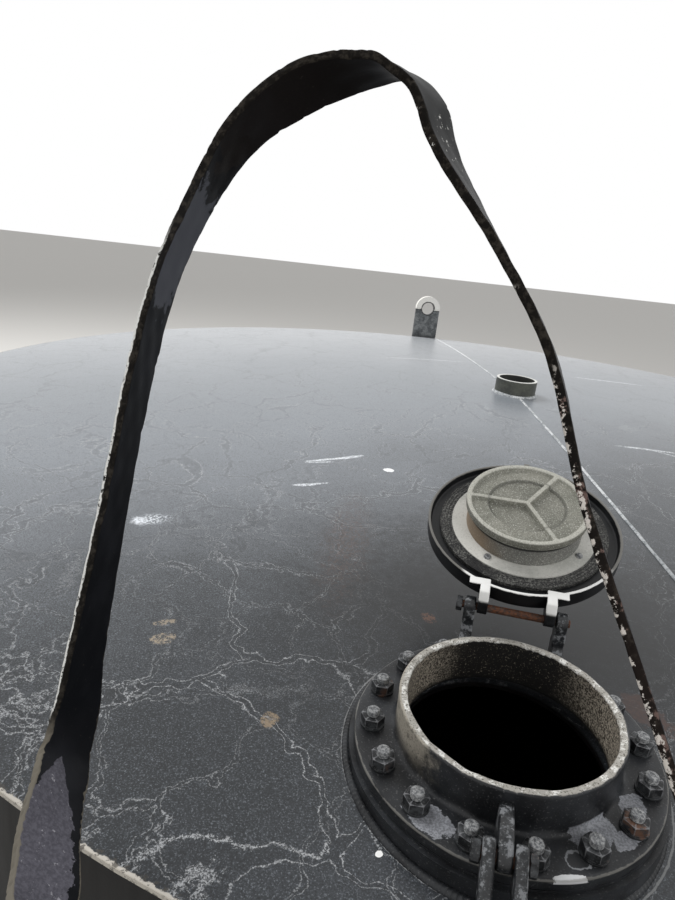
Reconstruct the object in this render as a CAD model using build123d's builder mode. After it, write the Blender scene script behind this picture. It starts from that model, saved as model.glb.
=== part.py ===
"""A low upright welded-steel storage tank with a domed roof, an open gauge hatch and a ladder hoop.

Millimetres, +Z up. The origin is the centre of the bottom plate, on the floor.
The roof's weld seam lies along Y, with a lifting lug at each end of it.
"""
from build123d import *
import os
from math import asin, cos, hypot, radians, sin, sqrt

os.makedirs("parts", exist_ok=True)

# Driving dimensions of the tank body
roof_radius = 1829.0
roof_overhang = 10.0
shell_wall = 5.0
shell_height = 1524.0
bottom_thickness = 6.0
bottom_ledge = 15.0
roof_thickness = 5.0
crown_rise = 106.0
half_way_rise = 66.0
seam_bead_width = 8.0
seam_bead_height = 2.5
corner_weld_leg = 6.0

# The pipe collar at the middle of the roof
vent_outer_radius = 65.0
vent_bore_radius = 56.0
vent_height = 48.0
vent_weld_leg = 7.0
collar_depth = 20.0

# Lifting lugs
lug_thickness = 20.0
lug_width = 140.0
lug_drop = 260.0
lug_offset = 66.0
lug_head_radius = 70.0
lug_hole_radius = 35.0
lug_hole_height = 170.0
cheek_thickness = 8.0

# Gauge hatch: how far its middle is from the roof's edge, its rim above the roof, and how it leans
hatch_bearing = 14.34
hatch_from_edge = 261.0
hatch_rim_lift = 72.90
hatch_lean_out = 1.6
hatch_lean_side = 2.0
neck_radius = 117.6
neck_wall = 9.0
neck_height = 43.5
flange_radius = 162.0
flange_thickness = 12.0
flange_edge_round = 3.0
neck_root_round = 4.0
gasket_thickness = 3.0
curb_outer_radius = 167.0
curb_inner_radius = 121.0
hatch_hole_radius = 112.0

# Hinge of the lid
hinge_reach = 136.0
hinge_rise = 24.8
hinge_pin_radius = 5.0
hinge_pin_half_length = 66.0
pin_clearance = 0.3
ear_inner = 48.0
ear_thickness = 14.0
ear_boss_radius = 11.0
ear_foot_back = 148.0
ear_web_drop = 12.0
lid_lug_inner = 34.0
lid_lug_thickness = 12.0
lid_lug_root = 40.0
hinge_bar_half = 62.0
hinge_bar_gap = 1.5
lid_travel = 162.4

# Lid: cap, seal and the pallet that hangs in the neck
cap_radius = 129.0
cap_skirt = 4.0
cap_side_height = 24.0
cap_crown = 44.0
cap_wall = 4.0
cap_edge_round = 5.0
seal_outer_radius = 112.0
seal_inner_radius = 99.0
seal_thickness = 6.0
seal_gap = 0.3
plate_radius = 96.0
plate_thickness = 7.0
plate_drop = 0.7
drum_radius = 76.0
drum_wall = 5.0
disc_radius = 80.0
disc_depth = 42.6
disc_thickness = 11.0
disc_rim_width = 6.0
disc_recess = 5.0
disc_step_radius = 50.0
disc_step_recess = 3.0
rib_width = 6.0
rib_turn = 30.0
rib_count = 3
nose_half_width = 4.0
nose_reach = 152.0
nose_top = 6.0

# Swing latch opposite the hinge
latch_reach = 165.0
latch_drop = 24.0
latch_pin_radius = 6.0
latch_pin_half_length = 27.0
latch_boss_radius = 13.0
latch_web_thickness = 13.0
latch_gap = 1.5
latch_arm_thickness = 11.0
latch_arm_length = 104.0
latch_arm_end_radius = 9.0
latch_bar_radius = 6.0
latch_bar_reach = 48.8
latch_rest_angle = 25.0
tread_length = 26.0
tread_thickness = 8.0
tread_overhang = 14.0

# Flat-bar hoop over the ladder
hoop_bar_width = 50.0
hoop_bar_thickness = 7.0
hoop_lean = 18.0
hoop_from_edge = 15.0
hoop_plane_height = -13.0
hoop_bend_height = 105.0
hoop_end_past_rail = 5.0
seat_gap = 0.3

# Ladder
ladder_bearing = 16.5
ladder_half_width = 225.0
ladder_stand_off = 170.0
rail_width = 50.0
rail_thickness = 8.0
rail_foot_height = 150.0
rail_above_hoop = 15.0
rung_radius = 10.0
rung_spacing = 300.0
first_rung_height = 300.0
rung_count = 4
bracket_thickness = 8.0
bracket_heights = (420.0, 1260.0)

# Cleanout on the side away from the ladder
cleanout_bearing = 140.0
cleanout_height = 420.0
cleanout_radius = 305.0
cleanout_wall = 8.0
cleanout_neck_reach = 110.0
cleanout_flange_radius = 368.0
cleanout_plate = 12.0
cleanout_gasket = 3.0
cleanout_handle_span = 160.0
cleanout_handle_reach = 60.0
cleanout_handle_radius = 8.0
cleanout_handle_height = 120.0

# Pipe collars on the shell: bearing from -Y towards -X, height, outer radius, bore radius
collar_reach = 60.0
shell_collars = {
    "outlet_collar": (70.0, 250.0, 65.0, 52.0),
    "fill_collar": (-60.0, 1300.0, 53.0, 41.0),
    "drain_collar": (-60.0, 150.0, 36.0, 26.0),
}

# Heights that follow
roof_edge = bottom_thickness + shell_height + roof_thickness
shell_radius = roof_radius - roof_overhang
shell_top = bottom_thickness + shell_height
hatch_reach = roof_radius - hatch_from_edge
hoop_plane_distance = roof_radius - hoop_from_edge
hoop_bend_top = roof_edge + hoop_bend_height
rail_top = hoop_bend_top + hoop_bar_width / 2 + rail_above_hoop
rail_reach = shell_radius + ladder_stand_off


def bearing_vector(bearing):
    """Horizontal unit vector at a bearing in degrees from -Y towards -X."""
    return Vector(-sin(radians(bearing)), -cos(radians(bearing)), 0)


def roof_height(reach):
    """Height of the roof's outer face above its edge, on the arc through crown, half way and edge."""
    half = roof_radius / 2
    # The centre (cx, cz) of the circle through (0, crown), (half, half_way) and (radius, 0)
    ax = half
    az = half_way_rise - crown_rise
    bx = roof_radius
    bz = -crown_rise
    det = 2 * (ax * bz - az * bx)
    cx = (bz * (ax * ax + az * az) - az * (bx * bx + bz * bz)) / det
    cz = (ax * (bx * bx + bz * bz) - bx * (ax * ax + az * az)) / det
    radius = hypot(cx, cz)
    return crown_rise + cz + sqrt(radius * radius - (reach - cx) ** 2)


def save(builder, name):
    """Labels a finished piece and writes its STEP file."""
    builder.part.label = name
    export_step(builder.part, f"parts/{name}.step")


# Space under the roof's outer face, which trims whatever stands on the roof
with BuildPart() as under_roof:
    with BuildSketch(Plane.XZ):
        with BuildLine():
            ThreePointArc(
                (0, roof_edge + crown_rise),
                (roof_radius / 2, roof_edge + half_way_rise),
                (roof_radius, roof_edge),
            )
            Polyline((roof_radius, roof_edge), (roof_radius, 0), (0, 0), (0, roof_edge + crown_rise))
        make_face()
    revolve(axis=Axis.Z)

# Hatch frame: origin at the rim's centre, x outwards, z up along the neck
out_way = bearing_vector(hatch_bearing)
side_way = Vector(0, 0, 1).cross(out_way)
hatch_up = (
    Vector(0, 0, 1) + out_way * sin(radians(hatch_lean_out)) - side_way * sin(radians(hatch_lean_side))
).normalized()
hatch_centre = out_way * hatch_reach + Vector(0, 0, roof_edge + roof_height(hatch_reach) + hatch_rim_lift)
hatch_out = (out_way - hatch_up * out_way.dot(hatch_up)).normalized()
hatch = Plane(origin=hatch_centre, x_dir=hatch_out, z_dir=hatch_up)


def side_view(frame, y=0.0):
    """The plane of a frame's x and z, moved y along the frame's y, for profiles seen from the side."""
    return Plane(origin=frame.from_local_coords((0, y, 0)), x_dir=frame.x_dir, z_dir=-frame.y_dir)


def turned(frame, angle):
    """A frame turned by an angle in degrees about its own y axis, x towards -z."""
    x_way = frame.x_dir * cos(radians(angle)) - frame.z_dir * sin(radians(angle))
    z_way = frame.x_dir * sin(radians(angle)) + frame.z_dir * cos(radians(angle))
    return Plane(origin=frame.origin, x_dir=x_way, z_dir=z_way)


# Bottom plate
with BuildPart() as bottom_plate:
    with BuildSketch():
        Circle(shell_radius + bottom_ledge)
    extrude(amount=bottom_thickness)
save(bottom_plate, "bottom_plate")

# Shell course, of four plates
cleanout_out = bearing_vector(cleanout_bearing)
cleanout_axis = Plane(
    origin=cleanout_out * (shell_radius - collar_depth) + Vector(0, 0, cleanout_height),
    x_dir=(cleanout_out.Y, -cleanout_out.X, 0),
    z_dir=cleanout_out,
)
collar_frames = {}
for name, (bearing, height, outer, bore) in shell_collars.items():
    out = bearing_vector(bearing)
    collar_frames[name] = Plane(
        origin=out * (shell_radius - collar_depth) + Vector(0, 0, height),
        x_dir=(out.Y, -out.X, 0),
        z_dir=out,
    )

with BuildPart() as shell:
    with BuildSketch(Plane.XY.offset(bottom_thickness)):
        Circle(shell_radius)
        Circle(shell_radius - shell_wall, mode=Mode.SUBTRACT)
    extrude(amount=shell_height)
    with BuildSketch(cleanout_axis):
        Circle(cleanout_radius)
    extrude(amount=cleanout_neck_reach, both=True, mode=Mode.SUBTRACT)
    for name, (bearing, height, outer, bore) in shell_collars.items():
        with BuildSketch(collar_frames[name]):
            Circle(outer)
        extrude(amount=collar_reach, both=True, mode=Mode.SUBTRACT)
for side, side_keep in (("left", Keep.BOTTOM), ("right", Keep.TOP)):
    for end, end_keep in (("near", Keep.TOP), ("far", Keep.BOTTOM)):
        with BuildPart() as plate:
            add(shell.part)
            split(bisect_by=Plane.YZ, keep=side_keep)
            split(bisect_by=Plane.XZ, keep=end_keep)
        save(plate, f"shell_{end}_{side}")

# Roof plate, in two halves
with BuildPart() as roof:
    with BuildSketch(Plane.XZ):
        with BuildLine():
            ThreePointArc(
                (0, roof_edge + crown_rise),
                (roof_radius / 2, roof_edge + half_way_rise),
                (roof_radius, roof_edge),
            )
            Line((roof_radius, roof_edge), (roof_radius, roof_edge - roof_thickness))
            ThreePointArc(
                (roof_radius, roof_edge - roof_thickness),
                (roof_radius / 2, roof_edge + half_way_rise - roof_thickness),
                (0, roof_edge + crown_rise - roof_thickness),
            )
            Line((0, roof_edge + crown_rise - roof_thickness), (0, roof_edge + crown_rise))
        make_face()
    revolve(axis=Axis.Z)
    with BuildSketch(hatch):
        Circle(hatch_hole_radius)
    extrude(amount=2 * hatch_rim_lift, both=True, mode=Mode.SUBTRACT)
    with BuildSketch(Plane.XY.offset(roof_edge)):
        Circle(vent_outer_radius)
    extrude(amount=2 * crown_rise, both=True, mode=Mode.SUBTRACT)
for name, keep in (("roof_left", Keep.BOTTOM), ("roof_right", Keep.TOP)):
    with BuildPart() as half:
        add(roof.part)
        split(bisect_by=Plane.YZ, keep=keep)
    save(half, name)

# Weld bead along the roof's seam, either side of the collar
bead_start = vent_outer_radius + vent_weld_leg
bead_end = roof_radius - seam_bead_width / 2


def roof_arc(lift):
    """The roof's outer arc in a side profile, lifted, from the bead's start to its end."""
    middle = (bead_start + bead_end) / 2
    return ThreePointArc(
        (bead_start, roof_edge + roof_height(bead_start) + lift),
        (middle, roof_edge + roof_height(middle) + lift),
        (bead_end, roof_edge + roof_height(bead_end) + lift),
    )


with BuildPart() as roof_seam:
    with BuildSketch(Plane.YZ):
        with BuildLine():
            lower = roof_arc(seat_gap)
            upper = roof_arc(seat_gap + seam_bead_height)
            Line(lower @ 0, upper @ 0)
            Line(lower @ 1, upper @ 1)
        make_face()
    extrude(amount=seam_bead_width / 2, both=True)
    mirror(about=Plane.XZ)
save(roof_seam, "roof_seam")

# Upright weld beads on the shell, two of them below the lugs' drop
side_seam_height = shell_height - 2 * corner_weld_leg
with BuildPart() as shell_seams:
    with BuildSketch(Plane.XY.offset(bottom_thickness + corner_weld_leg)):
        with Locations((0, shell_radius), (0, -shell_radius)):
            Circle(seam_bead_width / 2)
        Circle(shell_radius, mode=Mode.SUBTRACT)
    extrude(amount=shell_height - corner_weld_leg - lug_drop)
    with BuildSketch(Plane.XY.offset(bottom_thickness + corner_weld_leg)):
        with Locations((shell_radius, 0), (-shell_radius, 0)):
            Circle(seam_bead_width / 2)
        Circle(shell_radius, mode=Mode.SUBTRACT)
    extrude(amount=side_seam_height)
save(shell_seams, "shell_seams")

# Corner welds: under the roof's overhang and round the shell's foot
with BuildPart() as corner_welds:
    with BuildSketch(Plane.XZ):
        with BuildLine():
            Polyline(
                (shell_radius, shell_top),
                (shell_radius + corner_weld_leg, shell_top),
                (shell_radius, shell_top - corner_weld_leg),
                close=True,
            )
        make_face()
        with BuildLine():
            Polyline(
                (shell_radius, bottom_thickness),
                (shell_radius + corner_weld_leg, bottom_thickness),
                (shell_radius, bottom_thickness + corner_weld_leg),
                close=True,
            )
        make_face()
    revolve(axis=Axis.Z)
save(corner_welds, "corner_welds")

# Pipe collar at the crown, with its weld
vent_top = roof_edge + crown_rise + vent_height
vent_foot = roof_edge + roof_height(vent_outer_radius)
weld_reach = vent_outer_radius + vent_weld_leg
with BuildPart() as vent_collar:
    with BuildSketch(Plane.XZ):
        with BuildLine():
            Polyline(
                (vent_bore_radius, vent_foot - collar_depth),
                (vent_outer_radius, vent_foot - collar_depth),
                (vent_outer_radius, vent_foot),
                (weld_reach, roof_edge + roof_height(weld_reach)),
                (vent_outer_radius, vent_foot + vent_weld_leg),
                (vent_outer_radius, vent_top),
                (vent_bore_radius, vent_top),
                close=True,
            )
        make_face()
    revolve(axis=Axis.Z)
save(vent_collar, "vent_collar")

# Lifting lugs: upright plates against the roof's edge, packed out from the shell below it, with a
# horseshoe cheek on each face
lug_bearing = asin(lug_offset / roof_radius)
lug_way = Vector(-sin(lug_bearing), cos(lug_bearing), 0)
head_height = roof_edge + lug_hole_height
packing_top = shell_top - corner_weld_leg - seat_gap
for name, outward in (("lug_far", lug_way), ("lug_near", -lug_way)):
    upright = Plane(
        origin=outward * (roof_radius + seat_gap), x_dir=Vector(0, 0, 1).cross(outward), z_dir=outward
    )
    with BuildPart() as lug:
        with BuildSketch(upright):
            with Locations((0, head_height)):
                Circle(lug_head_radius)
            with BuildLine():
                Polyline(
                    (-lug_width / 2, roof_edge - lug_drop),
                    (lug_width / 2, roof_edge - lug_drop),
                    (lug_head_radius, head_height),
                    (-lug_head_radius, head_height),
                    close=True,
                )
            make_face()
        extrude(amount=lug_thickness)
        with BuildSketch(upright):
            with Locations((0, (roof_edge - lug_drop + packing_top) / 2)):
                Rectangle(lug_width, packing_top - roof_edge + lug_drop)
        extrude(amount=-roof_overhang)
        with BuildSketch(upright.offset(-cheek_thickness)):
            with Locations((0, head_height)):
                Circle(lug_head_radius)
            with Locations((0, head_height - lug_head_radius / 2)):
                Rectangle(2 * lug_head_radius, lug_head_radius, mode=Mode.SUBTRACT)
        extrude(amount=lug_thickness + 2 * cheek_thickness)
        with BuildSketch(upright):
            with Locations((0, head_height)):
                Circle(lug_hole_radius)
        extrude(amount=lug_thickness + 2 * cheek_thickness, both=True, mode=Mode.SUBTRACT)
    save(lug, name)

# Curb ring, cut to the roof below and level with the hatch above
curb_top = neck_height + flange_thickness + gasket_thickness
curb_plane = hatch.offset(-curb_top)
with BuildPart() as hatch_curb:
    with BuildSketch(curb_plane):
        Circle(curb_outer_radius)
        Circle(curb_inner_radius, mode=Mode.SUBTRACT)
    extrude(amount=-2 * hatch_rim_lift)
    add(under_roof.part, mode=Mode.SUBTRACT)
save(hatch_curb, "hatch_curb")

with BuildPart() as hatch_gasket:
    with BuildSketch(curb_plane):
        Circle(flange_radius)
        Circle(neck_radius, mode=Mode.SUBTRACT)
    extrude(amount=gasket_thickness)
save(hatch_gasket, "hatch_gasket")

# Cast hatch base: flange, neck, two hinge ears and the latch's web
neck_bore = neck_radius - neck_wall
flange_top = -neck_height
flange_foot = flange_top - flange_thickness
with BuildPart() as hatch_base:
    with BuildSketch(side_view(hatch)):
        with BuildLine():
            Polyline(
                (neck_bore, flange_foot),
                (flange_radius, flange_foot),
                (flange_radius, flange_top - flange_edge_round),
                (flange_radius - flange_edge_round, flange_top),
                (neck_radius + neck_root_round, flange_top),
                (neck_radius, flange_top + neck_root_round),
                (neck_radius, 0),
                (neck_bore, 0),
                close=True,
            )
        make_face()
    revolve(axis=Axis(hatch.origin, hatch.z_dir))
    for side in (-1, 1):
        ear_face = side_view(hatch, side * (ear_inner + ear_thickness / 2))
        neck_edge = sqrt(neck_radius**2 - (ear_inner + ear_thickness) ** 2)
        with BuildSketch(ear_face):
            with BuildLine():
                Polyline(
                    (-ear_foot_back, flange_top),
                    (-neck_edge, flange_top),
                    (-neck_edge, -ear_web_drop - ear_web_drop / 2),
                    (-hinge_reach + ear_boss_radius, -ear_web_drop),
                    (-hinge_reach + ear_boss_radius, hinge_rise),
                    (-hinge_reach - ear_boss_radius, hinge_rise),
                    close=True,
                )
            make_face()
            with Locations((-hinge_reach, hinge_rise)):
                Circle(ear_boss_radius)
                Circle(hinge_pin_radius + pin_clearance, mode=Mode.SUBTRACT)
        extrude(amount=ear_thickness / 2, both=True)
    with BuildSketch(side_view(hatch)):
        with BuildLine():
            Polyline(
                (neck_radius - neck_wall / 2, flange_top),
                (flange_radius - flange_edge_round, flange_top),
                (latch_reach, -latch_drop - latch_boss_radius),
                (latch_reach, -latch_drop + latch_boss_radius),
                (neck_radius, -ear_web_drop),
                (neck_radius - neck_wall / 2, -ear_web_drop),
                close=True,
            )
        make_face()
        with Locations((latch_reach, -latch_drop)):
            Circle(latch_boss_radius)
            Circle(latch_pin_radius + pin_clearance, mode=Mode.SUBTRACT)
    extrude(amount=latch_web_thickness / 2, both=True)
save(hatch_base, "hatch_base")

# Hinge pin and latch pin
hinge = Plane(
    origin=hatch.from_local_coords((-hinge_reach, 0, hinge_rise)), x_dir=hatch.x_dir, z_dir=hatch.z_dir
)
latch_pivot = Plane(
    origin=hatch.from_local_coords((latch_reach, 0, -latch_drop)), x_dir=hatch.x_dir, z_dir=hatch.z_dir
)
for name, pivot, radius, half_length in (
    ("hinge_pin", hinge, hinge_pin_radius, hinge_pin_half_length),
    ("latch_pin", latch_pivot, latch_pin_radius, latch_pin_half_length),
):
    with BuildPart() as pin:
        with BuildSketch(side_view(pivot)):
            Circle(radius)
        extrude(amount=half_length, both=True)
    save(pin, name)

# The lid stands thrown back over its hinge. Its frame is the hatch's, turned about the pin.
hinge_open = turned(hinge, -lid_travel)
lid = Plane(
    origin=hinge_open.from_local_coords((hinge_reach, 0, -hinge_rise)),
    x_dir=hinge_open.x_dir,
    z_dir=hinge_open.z_dir,
)
lid_axis = Axis(lid.origin, lid.z_dir)

with BuildPart() as lid_cap:
    with BuildSketch(side_view(lid)):
        with BuildLine():
            ThreePointArc(
                (0, cap_crown),
                (cap_radius / 2, cap_crown - (cap_crown - cap_side_height) / 4),
                (cap_radius - cap_edge_round, cap_side_height),
            )
            Polyline(
                (cap_radius - cap_edge_round, cap_side_height),
                (cap_radius, cap_side_height - cap_edge_round),
                (cap_radius, -cap_skirt),
                (cap_radius - cap_wall, -cap_skirt),
                (cap_radius - cap_wall, seal_gap + seal_thickness),
                (0, seal_gap + seal_thickness),
                (0, cap_crown),
            )
        make_face()
    revolve(axis=lid_axis)
    for side in (-1, 1):
        lug_face = side_view(lid, side * (lid_lug_inner + lid_lug_thickness / 2))
        with BuildSketch(lug_face):
            with BuildLine():
                Polyline(
                    (-cap_radius + cap_wall, seal_thickness),
                    (lid_lug_root - cap_radius, cap_side_height + cap_wall),
                    (-hinge_reach, hinge_rise + ear_boss_radius),
                    (-hinge_reach - ear_boss_radius, hinge_rise),
                    (-hinge_reach, hinge_rise - ear_boss_radius),
                    close=True,
                )
            make_face()
            with Locations((-hinge_reach, hinge_rise)):
                Circle(ear_boss_radius)
                Circle(hinge_pin_radius + pin_clearance, mode=Mode.SUBTRACT)
        extrude(amount=lid_lug_thickness / 2, both=True)
    hinge_bar_reach = hinge_reach - ear_boss_radius - hinge_bar_gap
    with BuildSketch(lid.offset(-cap_skirt)):
        with Locations((-hinge_bar_reach / 2, 0)):
            Rectangle(hinge_bar_reach, 2 * hinge_bar_half)
        Circle(cap_radius - cap_wall / 2, mode=Mode.SUBTRACT)
    extrude(amount=cap_skirt + cap_side_height - cap_edge_round)
    with BuildSketch(side_view(lid)):
        with BuildLine():
            Polyline(
                (cap_radius - cap_wall, -cap_skirt),
                (nose_reach, -cap_skirt),
                (nose_reach, nose_top),
                (cap_radius - cap_wall, cap_side_height - cap_edge_round),
                close=True,
            )
        make_face()
    extrude(amount=nose_half_width, both=True)
save(lid_cap, "lid_cap")

with BuildPart() as lid_seal:
    with BuildSketch(lid.offset(seal_gap)):
        Circle(seal_outer_radius)
        Circle(seal_inner_radius, mode=Mode.SUBTRACT)
    extrude(amount=seal_thickness)
save(lid_seal, "lid_seal")

with BuildPart() as pallet_plate:
    with BuildSketch(lid.offset(-plate_drop)):
        Circle(plate_radius)
    extrude(amount=plate_thickness)
save(pallet_plate, "pallet_plate")

disc_top = -disc_depth + disc_thickness
with BuildPart() as pallet_drum:
    with BuildSketch(lid.offset(disc_top)):
        Circle(drum_radius)
        Circle(drum_radius - drum_wall, mode=Mode.SUBTRACT)
    extrude(amount=-plate_drop - disc_top)
save(pallet_drum, "pallet_drum")

# The disc's underside: a raised rim, a stepped face and ribs that meet at the middle
disc_face = lid.offset(-disc_depth)
with BuildPart() as pallet_disc:
    with BuildSketch(disc_face):
        Circle(disc_radius)
    extrude(amount=disc_thickness)
    with BuildSketch(disc_face):
        Circle(disc_radius - disc_rim_width)
    extrude(amount=disc_recess, mode=Mode.SUBTRACT)
    with BuildSketch(disc_face.offset(disc_recess)):
        Circle(disc_step_radius)
    extrude(amount=disc_step_recess, mode=Mode.SUBTRACT)
    with BuildSketch(disc_face):
        with PolarLocations(0, rib_count, start_angle=rib_turn):
            with Locations((disc_radius / 2 - disc_rim_width / 4, 0)):
                Rectangle(disc_radius - disc_rim_width / 2, rib_width)
    extrude(amount=disc_recess + disc_step_recess)
save(pallet_disc, "pallet_disc")

# Swing latch: two arms astride the web, a cross bar and a tread
latch = turned(latch_pivot, latch_rest_angle)
arm_middle = latch_web_thickness / 2 + latch_gap + latch_arm_thickness / 2
for name, side in (("latch_arm_left", -1), ("latch_arm_right", 1)):
    with BuildPart() as arm:
        with BuildSketch(side_view(latch, side * arm_middle)):
            Circle(latch_boss_radius)
            with Locations((latch_arm_length, 0)):
                Circle(latch_arm_end_radius)
            make_hull()
            Circle(latch_pin_radius + pin_clearance, mode=Mode.SUBTRACT)
        extrude(amount=latch_arm_thickness / 2, both=True)
    save(arm, name)

arm_inner = arm_middle - latch_arm_thickness / 2
arm_outer = arm_middle + latch_arm_thickness / 2
with BuildPart() as latch_tread:
    with BuildSketch(side_view(latch)):
        with Locations((latch_bar_reach, 0)):
            Circle(latch_bar_radius)
    extrude(amount=arm_inner, both=True)
    with BuildSketch(side_view(latch)):
        with Locations((latch_arm_length + latch_arm_end_radius + tread_length / 2, 0)):
            Rectangle(tread_length, tread_thickness)
    extrude(amount=arm_outer + tread_overhang, both=True)
save(latch_tread, "latch_tread")

# Hoop of flat bar. Its legs bend outwards over the roof's edge and lap onto the ladder's rails.
hoop_side = side_way
hoop_up = Vector(0, 0, cos(radians(hoop_lean))) - out_way * sin(radians(hoop_lean))
hoop_normal = out_way * cos(radians(hoop_lean)) + Vector(0, 0, sin(radians(hoop_lean)))
ladder_out = bearing_vector(ladder_bearing)
ladder_side = Vector(0, 0, 1).cross(ladder_out)

# Columns: along the rim, up the hoop's leaning plane, outwards of that plane, twist of the bar
hoop_sections = (
    (-378, 146, 0, -14),
    (-379, 190, 0, -4),
    (-377, 330, 0, 7),
    (-374, 450, 0, 8),
    (-366, 530, 0, 8),
    (-346, 600, 0, 7),
    (-318, 660, 0, -4),
    (-272, 701, 0, -14),
    (-222, 718, 0, 4),
    (-193, 717, 0, 24),
    (-168, 698, 0, 26),
    (-145, 654, 0, 21),
    (-92, 585, 0, 11),
    (-40, 510, 0, 10),
    (2, 407, 0, 8),
    (54, 306, 0, 8),
    (92, 232, 4, 8),
    (122, 170, 6, 5),
)
# Columns: along the rim, outwards of the roof's edge, and the bar's width direction along, out and up
hoop_left_bend = (
    (-307, 76, -0.74, 0.25, 0.60),
    (-331, 39, -0.70, 0.35, 0.62),
    (-352, 0, -0.52, 0.45, 0.72),
    (-369, -33, -0.20, 0.85, 0.50),
)
hoop_right_bend = (
    (139, -40, 0.0, 0.85, 0.55),
    (147, -6, 0.0, 0.50, 0.87),
    (151, 50, 0.0, 0.20, 0.98),
)


def arch_section(row):
    """The bar's middle at a section of the arch, the way its width leans, and its twist from there."""
    along, up, out, twist = row
    origin = out_way * hoop_plane_distance + Vector(0, 0, roof_edge + hoop_plane_height)
    return origin + hoop_side * along + hoop_up * up + out_way * out, hoop_normal, twist


def bend_section(row):
    """The bar's middle and width direction at a section of a leg's outward bend."""
    along, out, width_along, width_out, width_up = row
    middle = hoop_side * along + out_way * (roof_radius + out) + Vector(0, 0, hoop_bend_top)
    return middle, hoop_side * width_along + out_way * width_out + Vector(0, 0, width_up), 0


def lap_section(side, reach):
    """The bar's middle where it lies on edge against a rail's inner face."""
    middle = ladder_out * reach + ladder_side * side * (ladder_half_width - hoop_bar_thickness / 2)
    return middle + Vector(0, 0, hoop_bend_top), Vector(0, 0, 1), 0


lap_end = rail_reach + rail_width / 2 + hoop_end_past_rail
lap_start = rail_reach - rail_width / 2 - hoop_end_past_rail
sections = [lap_section(-1, lap_end), lap_section(-1, lap_start)]
sections += [bend_section(row) for row in hoop_left_bend]
sections += [arch_section(row) for row in hoop_sections]
sections += [bend_section(row) for row in hoop_right_bend]
sections += [lap_section(1, lap_start), lap_section(1, lap_end)]
last = len(sections) - 1
with BuildPart() as hoop:
    for index, (middle, width_way, twist) in enumerate(sections):
        if index in (1, last):
            before, after = sections[index - 1][0], middle
        elif index in (0, last - 1):
            before, after = middle, sections[index + 1][0]
        else:
            before, after = sections[index - 1][0], sections[index + 1][0]
        run = (after - before).normalized()
        width_way = width_way - run * width_way.dot(run)
        width_way = width_way.normalized()
        width_way = width_way * cos(radians(twist)) + run.cross(width_way) * sin(radians(twist))
        with BuildSketch(Plane(origin=middle, x_dir=width_way, z_dir=run)):
            Rectangle(hoop_bar_width, hoop_bar_thickness)
    loft(ruled=True)
save(hoop, "hoop")

# Ladder: two rails, rungs and brackets to the shell
ladder_frame = Plane(origin=(0, 0, 0), x_dir=ladder_side, z_dir=(0, 0, 1))
for name, side in (("ladder_rail_left", -1), ("ladder_rail_right", 1)):
    with BuildPart() as rail:
        with BuildSketch(ladder_frame.offset(rail_foot_height)):
            with Locations((side * (ladder_half_width + rail_thickness / 2), -rail_reach)):
                Rectangle(rail_thickness, rail_width)
        extrude(amount=rail_top - rail_foot_height)
    save(rail, name)

with BuildPart() as ladder_rungs:
    for step in range(rung_count):
        height = first_rung_height + step * rung_spacing
        rung_plane = Plane(
            origin=ladder_out * rail_reach + Vector(0, 0, height), x_dir=ladder_out, z_dir=ladder_side
        )
        with BuildSketch(rung_plane):
            Circle(rung_radius)
        extrude(amount=ladder_half_width, both=True)
save(ladder_rungs, "ladder_rungs")

with BuildPart() as ladder_brackets:
    for height in bracket_heights:
        with BuildSketch(ladder_frame.offset(height)):
            for side in (-1, 1):
                bracket_side = side * (ladder_half_width - bracket_thickness / 2)
                with Locations((bracket_side, ladder_stand_off / 2 - rail_reach)):
                    Rectangle(bracket_thickness, ladder_stand_off + rail_width)
            Circle(shell_radius, mode=Mode.SUBTRACT)
        extrude(amount=rail_width)
save(ladder_brackets, "ladder_brackets")

# Cleanout: neck, flanged cover, gasket and handles
neck_end = collar_depth + cleanout_neck_reach
with BuildPart() as cleanout_neck:
    with BuildSketch(cleanout_axis):
        Circle(cleanout_radius)
        Circle(cleanout_radius - cleanout_wall, mode=Mode.SUBTRACT)
    extrude(amount=neck_end)
    with BuildSketch(cleanout_axis.offset(neck_end)):
        Circle(cleanout_flange_radius)
        Circle(cleanout_radius - cleanout_wall, mode=Mode.SUBTRACT)
    extrude(amount=cleanout_plate)
save(cleanout_neck, "cleanout_neck")

with BuildPart() as cleanout_seal:
    with BuildSketch(cleanout_axis.offset(neck_end + cleanout_plate)):
        Circle(cleanout_flange_radius)
        Circle(cleanout_radius, mode=Mode.SUBTRACT)
    extrude(amount=cleanout_gasket)
save(cleanout_seal, "cleanout_seal")

cover_face = neck_end + cleanout_plate + cleanout_gasket
with BuildPart() as cleanout_cover:
    with BuildSketch(cleanout_axis.offset(cover_face)):
        Circle(cleanout_flange_radius)
    extrude(amount=cleanout_plate)
save(cleanout_cover, "cleanout_cover")

with BuildPart() as cleanout_handles:
    for level in (-1, 1):
        handle_foot = (0, level * cleanout_handle_height, cover_face + cleanout_plate)
        bar_plane = Plane(
            origin=cleanout_axis.from_local_coords(handle_foot),
            x_dir=cleanout_axis.x_dir,
            z_dir=-cleanout_axis.y_dir,
        )
        reach = cleanout_handle_reach
        half = cleanout_handle_span / 2
        with BuildLine(bar_plane) as path:
            bend = 2 * cleanout_handle_radius
            FilletPolyline((-half, 0), (-half, reach), (half, reach), (half, 0), radius=bend)
        with BuildSketch(Plane(origin=path.line @ 0, z_dir=path.line % 0)):
            Circle(cleanout_handle_radius)
        sweep(path=path.line)
save(cleanout_handles, "cleanout_handles")

# Pipe collars on the shell
for name, (bearing, height, outer, bore) in shell_collars.items():
    with BuildPart() as collar:
        with BuildSketch(collar_frames[name]):
            Circle(outer)
            Circle(bore, mode=Mode.SUBTRACT)
        extrude(amount=collar_depth + collar_reach)
    save(collar, name)
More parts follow.
